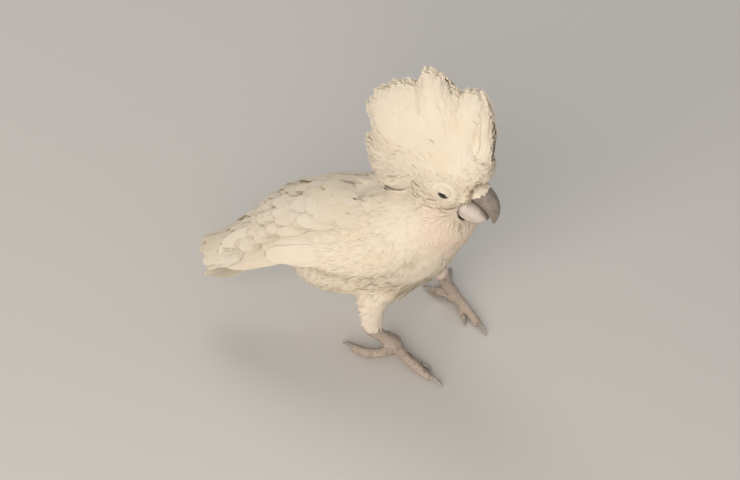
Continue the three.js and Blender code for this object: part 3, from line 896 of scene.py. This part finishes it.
def growVanes(name, roots, bends, tips, wide, outward, widths, cup, material=flightMaterial, tipRound=0.5,
              soft=0.4, puff=0.0, own=None):
    s = vaneSettings
    top = [-1, -0.66, -0.3, -0.06, 0.06, 0.3, 0.66, 1]
    bottom = [0.66, 0.2, -0.2, -0.66]
    section = [(u, 1) for u in top] + [(u, -1) for u in bottom]
    count, ringCount, across = len(roots), s["rings"], len(section)
    perTuft = ringCount * across + 2
    verts, facing, tone, vane = blankFeathers(count, perTuft)
    waves = rng.uniform(0, 6.28, (count, 4))
    for r in range(ringCount):
        t = r / (ringCount - 0.6)
        centre = onLine(roots, bends, tips, t)
        heading = lineWay(roots, bends, tips, t)
        side = alongSurface(wide, heading)
        up = np.cross(heading, side)
        puffed = puff * smoothStep(0.5, 1.0, t)
        half = widths * 0.5 * bladeWidth(t, tipRound)
        for k, (u, face) in enumerate(section):
            edge = abs(u) > 0.9
            sway = np.sin(t * 31 + waves[:, 0] + u) + np.sin(t * 57 + waves[:, 1] * u)
            sway = 1 + sway * s["notch"] * edge
            arch = -cup * u * u * half
            ripple = np.sin(t * 9 + waves[:, 2] + u * 2) * half * s["ripple"]
            thick = s["thick"] * (0.5 if edge else 1) * face * 0.5
            rise = s["shaft"] * (1 - t) * (face > 0) * (abs(u) < 0.1)
            verts[:, r * across + k] = (centre + side * (u * half * sway)[:, None]
                                        + up * (arch + ripple + thick + rise)[:, None])
            bowed = up + side * (u * 2 * cup)
            away = outward * (1 - puffed) + heading * puffed
            shade = bowed * (1 - soft) + away * soft
            mirror = shade - 2 * up * (shade * up).sum(axis=1, keepdims=True)
            facing[:, r * across + k] = shade if face > 0 else mirror
            vane[r * across + k] = [(u + 1) / 2, t]
        # share of the length, from which the plumage tone paints shade towards the root
        tone[:, r * across:(r + 1) * across, 0] = 0.35 + 0.65 * t
    verts[:, -2] = roots
    verts[:, -1] = tips
    facing[:, -2], facing[:, -1] = outward, unit(heading + outward * 0.1)
    tone[:, -2, 0] = 0.35
    tone[:, -1, 0] = 1
    vane[-2], vane[-1] = [0.5, 0], [0.5, 1]
    tone[..., 1] = (rng.random(count) if own is None else own)[:, None]
    tone[..., 3] = 1
    faces = []
    last = (ringCount - 1) * across
    for a in range(0, last, across):
        for k in range(across):
            n = (k + 1) % across
            faces.append((a + n, a + k, a + across + k, a + across + n))
    for k in range(across):
        n = (k + 1) % across
        faces += [(k, n, perTuft - 2), (last + n, last + k, perTuft - 1)]
    return meshFromTufts(name, verts, facing, faces, [], tone, vane, skinSpot(roots), material)


# Crest: feathers fan from the crown, front to back, [forward, up] from the middle of the head.
crestSettings = {
    "rows": [-3, -2, -1, 0, 1, 2, 3],
    "length": 0.975, "width": 0.024, "cup": 0.10,
    "rootApart": 0.0036, "bellyApart": 0.0066, "tipApart": 0.0009, "rowShort": 0.010,
    "roots": [(17, 12), (18, 14), (18, 15), (16, 17), (13, 18), (10, 19), (6, 19), (2, 20), (-2, 21),
              (-5, 21), (-8, 21), (-11, 20), (-14, 19), (-17, 16), (-19, 12), (-21, 8), (-23, 4), (-25, 0)],
    "tips": [(20, 38), (20, 63), (19, 81), (15, 93), (8, 91), (0, 82), (-10, 88), (-21, 97), (-30, 99),
             (-35, 81), (-46, 82), (-58, 76), (-70, 65), (-78, 49), (-71, 29), (-77, 9), (-72, -10), (-61, -27)],
    "shareSpread": 0.006, "rowSpread": 0.12, "faceRow": 3.4,
    "fringe": {"each": 140, "length": 0.0029, "width": 0.0006, "thick": 0.0001, "tipRound": 0.6,
               "splay": 0.65, "rise": 0.0004},
    "coat": {"count": 6000, "length": 0.015, "width": 0.0060, "from": 0.02, "to": 0.9,
             "bow": 0.0018, "tipRise": (0.0004, 0.0016), "stray": 0.0012},
    "edge": {"count": 1300, "reach": 0.0132, "rows": 3.2, "sunk": 0.001, "bow": 0.0016, "tipRise": 0.0004},
    "crown": {"lines": 1500, "ahead": 0.28, "eye": 0.013, "bill": 0.024, "front": 0.012, "near": 0.019,
              "spacing": 0.0014, "length": 0.021, "width": 0.0050, "bow": 0.0014, "sunk": 0.001},
}


# Root, bend and tip of the crest's surface for shares of the fan and rows left or right of its middle.
def crestLines(share, row):
    s = crestSettings
    root2, tip2 = tableSpot(share, s["roots"]), tableSpot(share, s["tips"])
    reach2 = (tip2 - root2) * (s["length"] - s["rowShort"] * np.abs(row))[:, None]
    girth = 0.5 + 0.5 * smoothStep(0.0, 0.3, share) - 0.35 * smoothStep(0.72, 1.0, share)
    across = headLeft[None] * (row * girth)[:, None]
    root = headMiddle + headForward * root2[:, :1] + headUp * root2[:, 1:] + across * s["rootApart"]
    flat = headForward * reach2[:, :1] + headUp * reach2[:, 1:]
    tip = root + flat + across * (s["tipApart"] - s["rootApart"])
    bend = root + flat * 0.5 + across * (s["bellyApart"] - s["rootApart"])
    return root, bend, tip


# Feathers at the front of the fan face partly forwards, and those at its back partly backwards.
def crestLean(share):
    return (0.9 * (1 - smoothStep(0.0, 0.35, share)) - 0.5 * smoothStep(0.7, 1.0, share))[:, None]


def makeCrest():
    s = crestSettings
    row = np.repeat(np.array(s["rows"], float), len(s["tips"]))
    share = np.tile(np.linspace(0, 1, len(s["tips"])), len(s["rows"]))
    share = share + rng.normal(0, s["shareSpread"], len(row))
    roots, bends, tips = crestLines(share, row + rng.normal(0, s["rowSpread"], len(row)))
    outward = unit(tips - roots)
    side = np.where(row == 0, 1, np.sign(row))[:, None]
    fore = unit(np.cross(headLeft[None], outward))
    wide = unit(fore - headLeft * 0.14 * side * (np.abs(row) / 3)[:, None]) * side
    outs = unit(headLeft * side + outward * 0.35 + fore * crestLean(share))
    widths = s["width"] * rng.uniform(0.95, 1.08, len(row))
    piece = growVanes("crestFeathers", roots, bends, tips, wide, outs, widths, s["cup"], contourMaterial,
                      tipRound=0.62, soft=0.88, puff=0.6)
    fringe = growFringe("crestFringe", roots, bends, tips, wide, outs, widths)
    return piece, fringe, growCrestCoat(), growCrestEdge(), growCrown()


# Feathers of the crown and nape that rise with the crest and hide its foot.
def growCrown():
    s = crestSettings["crown"]
    count = s["lines"]
    share = rng.random(count)
    side = np.where(np.arange(count) % 2, 1.0, -1.0)
    line = crestLines(share, side * crestSettings["faceRow"])
    t = rng.uniform(0.0, 0.55, (count, 1))
    targets = onLine(*line, np.minimum(t + s["ahead"], 1.0))
    ways = lineWay(*line, t)
    tree = treeOf(onLine(*line, t))
    near = np.nonzero(isKind("head", "neck") & feathered & (eyeGap > s["eye"]) & (billGap > s["bill"]))[0]
    found = [tree.find(faceMiddle[i]) for i in near]
    mask = np.zeros(len(faceMiddle), bool)
    mask[near[[f[2] < s["near"] for f in found]]] = True
    mask &= (faceMiddle - headMiddle) @ headForward < s["front"]
    roots, up, uv = pickRoots(mask, s["spacing"])
    found = [tree.find(p) for p in roots]
    nearest, gaps = [f[1] for f in found], np.array([f[2] for f in found])
    risen = (1 - smoothStep(s["near"] * 0.2, s["near"], gaps))[:, None]
    way = lieOfCoat(roots, up) * (1 - risen) + unit(targets[nearest] - roots) * (0.25 + risen)
    way = unit(way + rng.normal(0, 0.05, (len(roots), 3)))
    lengths = (s["length"] * rng.uniform(0.5, 1.25, len(roots)))[:, None] * (0.55 + 0.45 * risen)
    lean = unit(np.cross(headLeft[None], ways)) * crestLean(share)
    facing = headLeft * side[:, None] + ways * 0.3 + lean
    outs = unit(unit(facing[nearest]) * (0.25 + risen) + up * (1 - risen))
    bends = roots + way * lengths * 0.5 + outs * s["bow"]
    tips = roots + way * lengths + outs * (0.0004 - 0.0010 * risen)
    return growLoose("crownCoat", "contour", roots - up * s["sunk"], bends, tips, outs, s["width"], uv)


# Small soft feathers over both faces of the crest, pointing to its edge.
def growCrestCoat():
    s = crestSettings["coat"]
    count = s["count"]
    share = rng.random(count)
    side = rng.choice([-1.0, 1.0], count)
    t = s["from"] + (s["to"] - s["from"]) * rng.random(count) ** 0.72
    line = root, bend, tip = crestLines(share, side * crestSettings["faceRow"])
    lengths = s["length"] * rng.uniform(0.8, 1.15, count)
    step = (lengths / np.linalg.norm(tip - root, axis=1))[:, None]
    along = np.minimum(t[:, None], rng.uniform(0.86, 1.03, (count, 1)) - step)
    faceWay = headLeft * side[:, None]
    start = onLine(*line, along)
    middle = onLine(*line, along + step * 0.5) + faceWay * s["bow"]
    end = onLine(*line, along + step) + faceWay * rng.uniform(*s["tipRise"], (count, 1))
    sideways = unit(np.cross(tip - root, headLeft[None]))
    end += sideways * rng.normal(0, s["stray"], (count, 1))
    puffed = 0.6 * smoothStep(0.5, 1.0, along)
    outs = unit(faceWay * (1 - puffed) + unit(tip - root) * (0.35 + puffed) - sideways * crestLean(share))
    return growLoose("crestCoat", "petal", start, middle, end, outs, s["width"], skinSpot(start))


# Small feathers that wrap the crest's front and back edges.
def growCrestEdge():
    s, lay = crestSettings["edge"], crestSettings["coat"]
    count = s["count"] * 2
    share = np.repeat([0.0, 1.0], s["count"])
    row = rng.uniform(-s["rows"], s["rows"], count)
    line = root, bend, tip = crestLines(share, row)
    along = rng.uniform(0.02, 0.86, count)[:, None]
    ahead = unit(np.cross(headLeft[None], unit(tip - root))) * np.where(share < 0.5, 1.0, -1.0)[:, None]
    aside = (row / crestSettings["faceRow"])[:, None]
    roundness = np.sqrt(1 - aside ** 2)

    def place(a):
        swell = 0.3 + 0.7 * smoothStep(0.0, 0.42, a) * np.sqrt(np.clip(1.05 - a ** 3, 0.05, 1))
        return onLine(*line, a) + ahead * (s["reach"] * swell * (0.90 + 0.10 * roundness))

    step = (lay["length"] * rng.uniform(0.8, 1.15, count) / np.linalg.norm(tip - root, axis=1))[:, None]
    outs = unit(ahead * (0.25 + roundness) + headLeft * aside * 1.1)
    start = place(along) - outs * s["sunk"]
    middle = place(np.minimum(along + step * 0.5, 1.0)) + outs * s["bow"]
    end = place(np.minimum(along + step, 1.0)) + outs * s["tipRise"]
    return growLoose("crestEdge", "petal", start, middle, end, outs, lay["width"], skinSpot(start))


# Loose barbs along the edges and the tip of each long feather.
def growFringe(name, roots, bends, tips, wide, outs, widths):
    s = crestSettings["fringe"]
    count, each = len(roots), s["each"]
    t = rng.uniform(0.3, 1.0, (count, each)) ** 0.6
    side = rng.choice([-1.0, 1.0], (count, each))
    t3 = t[..., None]
    line = roots[:, None], bends[:, None], tips[:, None]
    centre, heading = onLine(*line, t3), lineWay(*line, t3)
    flank = alongSurface(wide[:, None], heading) * side[..., None]
    reach = widths[:, None] * 0.5 * bladeWidth(t, s["tipRound"], 0.02)
    reach = reach * rng.uniform(0.72, 0.97, (count, each))
    start = (centre + flank * reach[..., None]).reshape(-1, 3)
    way = (heading * (0.9 + t3) + flank * s["splay"]).reshape(-1, 3)
    way = unit(way + rng.normal(0, 0.07, way.shape))
    lengths = s["length"] * rng.uniform(0.6, 1.3, len(start))
    out = np.repeat(outs, each, axis=0)
    end = start + way * lengths[:, None] + out * rng.normal(0, s["rise"], (len(start), 1))
    spots, barbs = np.repeat(skinSpot(roots), each, axis=0), np.full(len(start), s["width"])
    return growTufts(name, "wisp", start, (start + end) / 2, end, out, out, barbs, s["thick"], spots,
                     rng.random(len(start)))


crest, crestFringe, crestCoat, crestEdge, crownCoat = makeCrest()


def bodyPlace(forward, left, up):
    return trunkCore + bodyForward * forward + bodyLeft * left + bodyUp * up


# Folded wing: long feathers from the lowest primary to the upper tertials, and coverts over them.
wingSettings = {
    "tipStray": 0.0025, "lap": 0.0010, "leftDrop": 0.005, "bow": 0.006,
    "flight": {"root": (-0.040, 0.043, 0.039), "low": 29, "high": 86,
               "count": 19, "width": 0.018, "cup": 0.12,
               "tips": [(-126, 11, -9), (-134, 13, -4), (-130, 14, 4), (-120, 13, 11), (-106, 10, 18),
                        (-86, 5, 25)]},
    "covert": {"root": (-0.018, 0.0495, 0.0445), "low": 17, "high": 86,
               "count": 21, "width": 0.017, "cup": 0.12,
               "tips": [(-74, 34, 11), (-82, 31, 13), (-82, 27, 16), (-78, 21, 23), (-74, 13, 29),
                        (-70, 5, 32)]},
}


def makeWingLayer(layer, side, name):
    both, s = wingSettings, wingSettings[layer]
    share = np.linspace(0, 1, s["count"])
    far = tableSpot(share, s["tips"])
    angle = np.radians(s["low"] + (s["high"] - s["low"]) * share)[:, None]
    outs = bodyLeft * side * np.cos(angle) + bodyUp * np.sin(angle)
    around = -bodyLeft * side * np.sin(angle) + bodyUp * np.cos(angle)
    back, half, top = s["root"]
    roots = bodyPlace(back, side * np.cos(angle) * half, np.sin(angle) * top)
    back = far[:, :1] + rng.normal(0, both["tipStray"], (len(share), 1))
    lap = outs * both["lap"] * (np.arange(len(share)) % 3)[:, None]
    tips = bodyPlace(back, side * far[:, 1:2], far[:, 2:])
    tips += lap - bodyUp * (both["leftDrop"] if side > 0 else 0)
    bends = (roots + tips) / 2 + outs * both["bow"]
    widths = s["width"] * rng.uniform(0.9, 1.1, len(share))
    return growVanes(name, roots, bends, tips, around * side, outs, widths, s["cup"], tipRound=0.3, soft=0.7)


wingLayers = [("flight", -1, "flightFeathersRight"), ("flight", 1, "flightFeathersLeft"),
              ("covert", -1, "covertsRight"), ("covert", 1, "covertsLeft")]
flights = [makeWingLayer(*layer) for layer in wingLayers]

# Back: short worn feathers in rows from the shoulders to the rump; they stand out a little at their tips.
backSettings = {
    "from": 0.006, "to": -0.116, "rows": 26, "across": 11, "half": 0.029,
    "length": 0.029, "width": 0.0120, "cup": 0.14,
    "heights": [(-134, 0), (-110, 13), (-90, 23), (-72, 31), (-52, 40), (-32, 46.5), (-10, 49), (10, 49)],
    "rises": [(-140, 0), (-112, 3), (-92, 7), (-80, 9), (-70, 11), (-60, 6.5), (-46, 6), (-20, 3), (0, 0)],
    "stray": (0.0040, 0.0024), "narrow": ((-0.12, -0.02), (0.62, 1.0)),
    "drop": 9.0, "stand": 0.0036, "bow": 0.0035,
}


def backHeight(forward, left):
    return heightAt(forward, backSettings["heights"]) - backSettings["drop"] * left ** 2


def makeBack():
    s = backSettings
    forward = np.repeat(np.linspace(s["from"], s["to"], s["rows"]), s["across"])
    left = np.tile(np.linspace(-s["half"], s["half"], s["across"]), s["rows"])
    forward = forward + rng.normal(0, s["stray"][0], len(forward))
    left = (left + rng.normal(0, s["stray"][1], len(left))) * np.interp(forward, *s["narrow"])
    length = s["length"] * rng.uniform(0.75, 1.2, len(forward))
    stand = s["stand"] * rng.uniform(0.1, 1.2, len(forward)) * smoothStep(0.01, -0.03, forward)
    ahead = forward - length
    stand += heightAt(ahead, s["rises"]) * rng.uniform(0.75, 1.05, len(forward))
    sunk = 0.003 + 0.004 * smoothStep(-0.02, 0.01, forward)
    roots = bodyPlace(forward[:, None], left[:, None], (backHeight(forward, left) - sunk)[:, None])
    tips = bodyPlace(ahead[:, None], left[:, None], (backHeight(ahead, left) + stand)[:, None])
    outs = unit(bodyUp + bodyLeft * (left * 2 * s["drop"])[:, None])
    bends = (roots + tips) / 2 + outs * s["bow"]
    wide = unit(np.cross(outs, tips - roots))
    own = 0.4 + 2.0 * rng.random(len(forward)) ** 2
    widths = s["width"] * rng.uniform(0.8, 1.2, len(left))
    return growVanes("backFeathers", roots, bends, tips, wide, outs, widths, s["cup"],
                     tipRound=0.4, soft=0.78, own=own)


flights.append(makeBack())


# Tail: a narrow fan, the middle feathers on top.
tailSettings = {"count": 11, "length": 0.092, "width": 0.0135, "cup": 0.12,
                "fan": 6, "turn": 18, "apart": 0.0036, "droop": 31,
                "outerShort": 0.010, "stray": 0.0030, "bow": 0.003}


def makeTail():
    s = tailSettings
    base = bodyPlace(-0.060, 0, -0.002)
    roots, bends, tips, wide, outs = [], [], [], [], []
    for i in range(s["count"]):
        share = 2 * i / (s["count"] - 1) - 1
        forward, left, up = axesFor(math.radians(share * s["fan"] * 0.5), math.radians(s["droop"]))
        root = base + left * share * s["apart"] + up * 0.001 * (1 - abs(share)) * 3
        reach = s["length"] - s["outerShort"] * share * share + rng.normal(0, s["stray"])
        tip = base - forward * reach + left * share * s["apart"] * 1.2 - up * 0.003 * share * share
        roots.append(root)
        tips.append(tip)
        bends.append((root + tip) / 2 + up * s["bow"])
        turn = math.radians(share * s["turn"])
        wide.append(up * math.sin(turn) - left * math.cos(turn))
        outs.append(up)
    roots, bends, tips, wide, outs = (np.array(rows) for rows in (roots, bends, tips, wide, outs))
    widths = np.full(len(roots), s["width"])
    return growVanes("tailFeathers", roots, bends, tips, wide, outs, widths, s["cup"], tipRound=0.25)


tail = makeTail()
print("long feathers made")


# Bill and claws: the solids' forms, rounded. Smooth is the number of rounds.
hornSettings = {"bill": {"voxel": 0.0006, "smooth": 12}, "claws": {"voxel": 0.0004, "smooth": 4}}


def makeHorn(names, pieceName, setting, material):
    piece = joinedCopy(names, pieceName)
    remeshPiece(piece, hornSettings[setting]["voxel"], hornSettings[setting]["smooth"])
    piece.data.shade_smooth()
    piece.data.materials.append(material)
    return piece


billUpper = makeHorn(["bill_upper"], "upperBill", "bill", billMaterial)
billLower = makeHorn(["bill_lower"], "lowerBill", "bill", lowerMaterial)


# Painted shade: each half of the bill is darker where it comes near the other, in the gap between them.
billGapShadeSettings = {"near": 0.0006, "upper": 0.0036, "lower": 0.0060, "dark": 0.95}


def paintBillGapShade(piece, other, half):
    s = billGapShadeSettings
    spots, tree = readMesh(piece.data)[0], treeOf(readMesh(other.data)[0])
    gap = np.array([tree.find(p)[2] for p in spots])
    addLayer(piece.data, "billGapShade", (1 - smoothStep(s["near"], s[half], gap)) * s["dark"])


paintBillGapShade(billUpper, billLower, "upper")
paintBillGapShade(billLower, billUpper, "lower")

clawNames = [f"claw_{side}_{n}" for side in ("right", "left") for n in range(1, 5)]
claws = makeHorn(clawNames, "claws", "claws", clawMaterial)

# Eyes: the ball's radius, and half the length and height of the slit between the lids.
eyeSettings = {"radius": 0.0056, "segments": 40, "slitHalf": 0.0048, "slitOpen": 0.0031, "outer": 0.0082,
               "tilt": -24, "back": -0.0004, "lower": 0.0014, "wall": 0.0006, "lowest": 0.0014,
               "tufts": 2200, "tuftLength": 0.0030, "tuftWidth": 0.0013}


# A lid's outward way, and the ways along and across the slit.
def lidFrame(side):
    outward = unit(headLeft * side + headForward * 0.16)
    along, tilt = alongSurface(headForward, outward), math.radians(eyeSettings["tilt"])
    return (outward, along * math.cos(tilt) + headUp * math.sin(tilt),
            headUp * math.cos(tilt) - along * math.sin(tilt))


def makeEye(node, name):
    centre = nodeCentre(node)
    bpy.ops.object.select_all(action="DESELECT")
    radius, segments = eyeSettings["radius"], eyeSettings["segments"]
    bpy.ops.mesh.primitive_uv_sphere_add(segments=segments, ring_count=24, radius=radius, location=centre)
    ball = bpy.context.object
    ball.name = ball.data.name = name
    bpy.ops.object.transform_apply(location=True, rotation=True, scale=True)
    ball.data.shade_smooth()
    ball.data.materials.append(eyeMaterial)
    return ball


# Lids: a ring of skin that rises to the slit's edge over the ball and falls away to the face.
def makeLids(node, name, side):
    s = eyeSettings
    centre = nodeCentre(node)
    outward, major, minor = lidFrame(side)
    around, steps = 48, 9
    verts = []
    for j in range(steps):
        t = j / (steps - 1)
        for i in range(around):
            angle = 2 * math.pi * i / around
            slitX = math.cos(angle) * s["slitHalf"]
            slitY = math.copysign(abs(math.sin(angle)) ** 1.25, math.sin(angle)) * s["slitOpen"]
            x = (slitX - s["back"]) * (1 - t) + math.cos(angle) * s["outer"] * t
            y = (slitY - s["lower"]) * (1 - t) + math.sin(angle) * s["outer"] * t
            flat = math.hypot(x, y)
            dome = math.sqrt(max(0, (s["radius"] + s["wall"]) ** 2 - min(flat, s["radius"]) ** 2))
            height = dome + 0.0005 * math.sin(math.pi * min(1, t * 2.4)) - 0.0012 * t
            height = max(height, s["lowest"])
            verts.append(Vector(centre + major * x + minor * y + outward * height))
    faces = []
    for a in range(0, (steps - 1) * around, around):
        for i in range(around):
            n = (i + 1) % around
            faces.append((a + i, a + n, a + around + n, a + around + i))
    mesh = bpy.data.meshes.new(name)
    mesh.from_pydata(verts, [], faces)
    piece = addObject(name, mesh)
    editAll(piece, bpy.ops.mesh.normals_make_consistent, inside=False)
    wall = piece.modifiers.new("wall", "SOLIDIFY")
    wall.thickness = s["wall"]
    wall.offset = -1
    rounding = piece.modifiers.new("round", "SUBSURF")
    rounding.levels = rounding.render_levels = 1
    applyModifiers(piece)
    piece.data.shade_smooth()
    piece.data.materials.append(lidMaterial)
    return piece


# Tiny feathers over the lids, so that only the slit shows.
def growLidCoat(name, lid, node, side):
    s = eyeSettings
    spots, outs = readMesh(lid.data)
    outward, major, minor = lidFrame(side)
    spot = spots - nodeCentre(node)
    height = spot @ outward
    flat = spot - height[:, None] * outward
    x, y = flat @ major + s["back"], flat @ minor + s["lower"]
    ring = np.hypot(x / (s["slitHalf"] + 0.0010), y / (s["slitOpen"] + 0.0010))
    pick = np.nonzero((ring > 1.08) & (outs @ outward > 0.15) & (height > 0.001))[0]
    pick = rng.choice(pick, min(len(pick), s["tufts"]), replace=False)
    roots, up = spots[pick], unit(outs[pick] + outward * 0.6)
    way = alongSurface(unit(flat[pick] * 120 - headForward + rng.normal(0, 0.12, (len(pick), 3))), up)
    lengths = (s["tuftLength"] * rng.uniform(0.7, 1.2, len(pick)))[:, None]
    bends, tips = roots + way * lengths * 0.5 + up * 0.0009, roots + way * lengths + up * 0.0004
    return growLoose(name, "contour", roots - up * 0.0003, bends, tips, up, s["tuftWidth"], skinSpot(roots),
                     0.0001)


eyes = {"eye_right": makeEye("eye_right", "eyeBallRight"), "eye_left": makeEye("eye_left", "eyeBallLeft")}
lids = [makeLids("eye_right", "eyelidsRight", -1), makeLids("eye_left", "eyelidsLeft", 1)]
lids += [growLidCoat("lidCoatRight", lids[0], "eye_right", -1),
         growLidCoat("lidCoatLeft", lids[1], "eye_left", 1)]
print("eyes, lids, bill and claws made")


# Every piece rides the one body; those that stand for a solid replace it.
def settle(piece, slot, *replaced):
    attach(piece, "root")
    if replaced:
        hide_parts(*replaced)


settle(skin, "plumage", *fleshNodes)
settle(crest, "plumage", "crest")
settle(tail, "plumage", "tail")
for piece in coats + [crestFringe, crestCoat, crestEdge, crownCoat] + flights + lids:
    settle(piece, "plumage")
settle(billUpper, "bill", "bill_upper")
settle(billLower, "bill", "bill_lower")
settle(claws, "claw", *clawNames)
for node, piece in eyes.items():
    settle(piece, "eye", node)
print("pieces settled")

# Floor, light and camera.
scene = bpy.context.scene
floorMaterial, floorTree, floorShader = newMaterial("studioFloor")
feed(floorTree, floorShader, {"Base Color": tint(208, 203, 196), "Roughness": 0.9})
bpy.ops.object.select_all(action="DESELECT")
bpy.ops.mesh.primitive_plane_add(size=30, location=(0, 0, -0.0002))
floor = bpy.context.object
floor.name = "studioFloor"
floor.data.materials.append(floorMaterial)

lightSettings = {
    "key": {"place": (-1.92, 0.42, 1.02), "size": 1.7, "power": 38, "colour": (1.0, 0.95, 0.88)},
    "fill": {"place": (-1.5, -1.3, 0.9), "size": 1.6, "power": 3.6, "colour": (0.94, 0.97, 1.0)},
    "back": {"place": (1.2, 0.8, 1.8), "size": 1.4, "power": 10, "colour": (1.0, 0.98, 0.95)},
}
for name, s in lightSettings.items():
    light = bpy.data.lights.new(name, "AREA")
    light.shape = "DISK"
    light.size = s["size"]
    light.energy = s["power"]
    light.color = s["colour"]
    lamp = addObject(name, light)
    lamp.location = s["place"]
    lamp.rotation_mode = "QUATERNION"
    lamp.rotation_quaternion = (Vector((0.02, 0.03, 0.12)) - Vector(s["place"])).to_track_quat("-Z", "Y")

world = bpy.data.worlds.new("studio")
world.use_nodes = True
backdrop = {"Color": (0.95, 0.97, 1.0, 1), "Strength": 0.39}
feed(world.node_tree, world.node_tree.nodes["Background"], backdrop)
scene.world = world
scene.view_settings.view_transform = "Standard"

cameraSettings = {"place": (-1.4647, -0.0986, 1.3335), "aim": (0.02, 0.0313, 0.1021), "roll": 4.69,
                  "lens": 113.06, "sensor": 36}
cameraData = bpy.data.cameras.new("camera")
cameraData.lens = cameraSettings["lens"]
cameraData.sensor_width = cameraSettings["sensor"]
camera = addObject("camera", cameraData)
place, aim = Vector(cameraSettings["place"]), Vector(cameraSettings["aim"])
camera.location = place
camera.rotation_mode = "QUATERNION"
level, roll = (aim - place).to_track_quat("-Z", "Y"), math.radians(cameraSettings["roll"])
rolled = Vector((math.cos(roll), math.sin(roll), 0))
camera.rotation_quaternion = level @ Vector((1, 0, 0)).rotation_difference(rolled)
scene.camera = camera

print("finished")
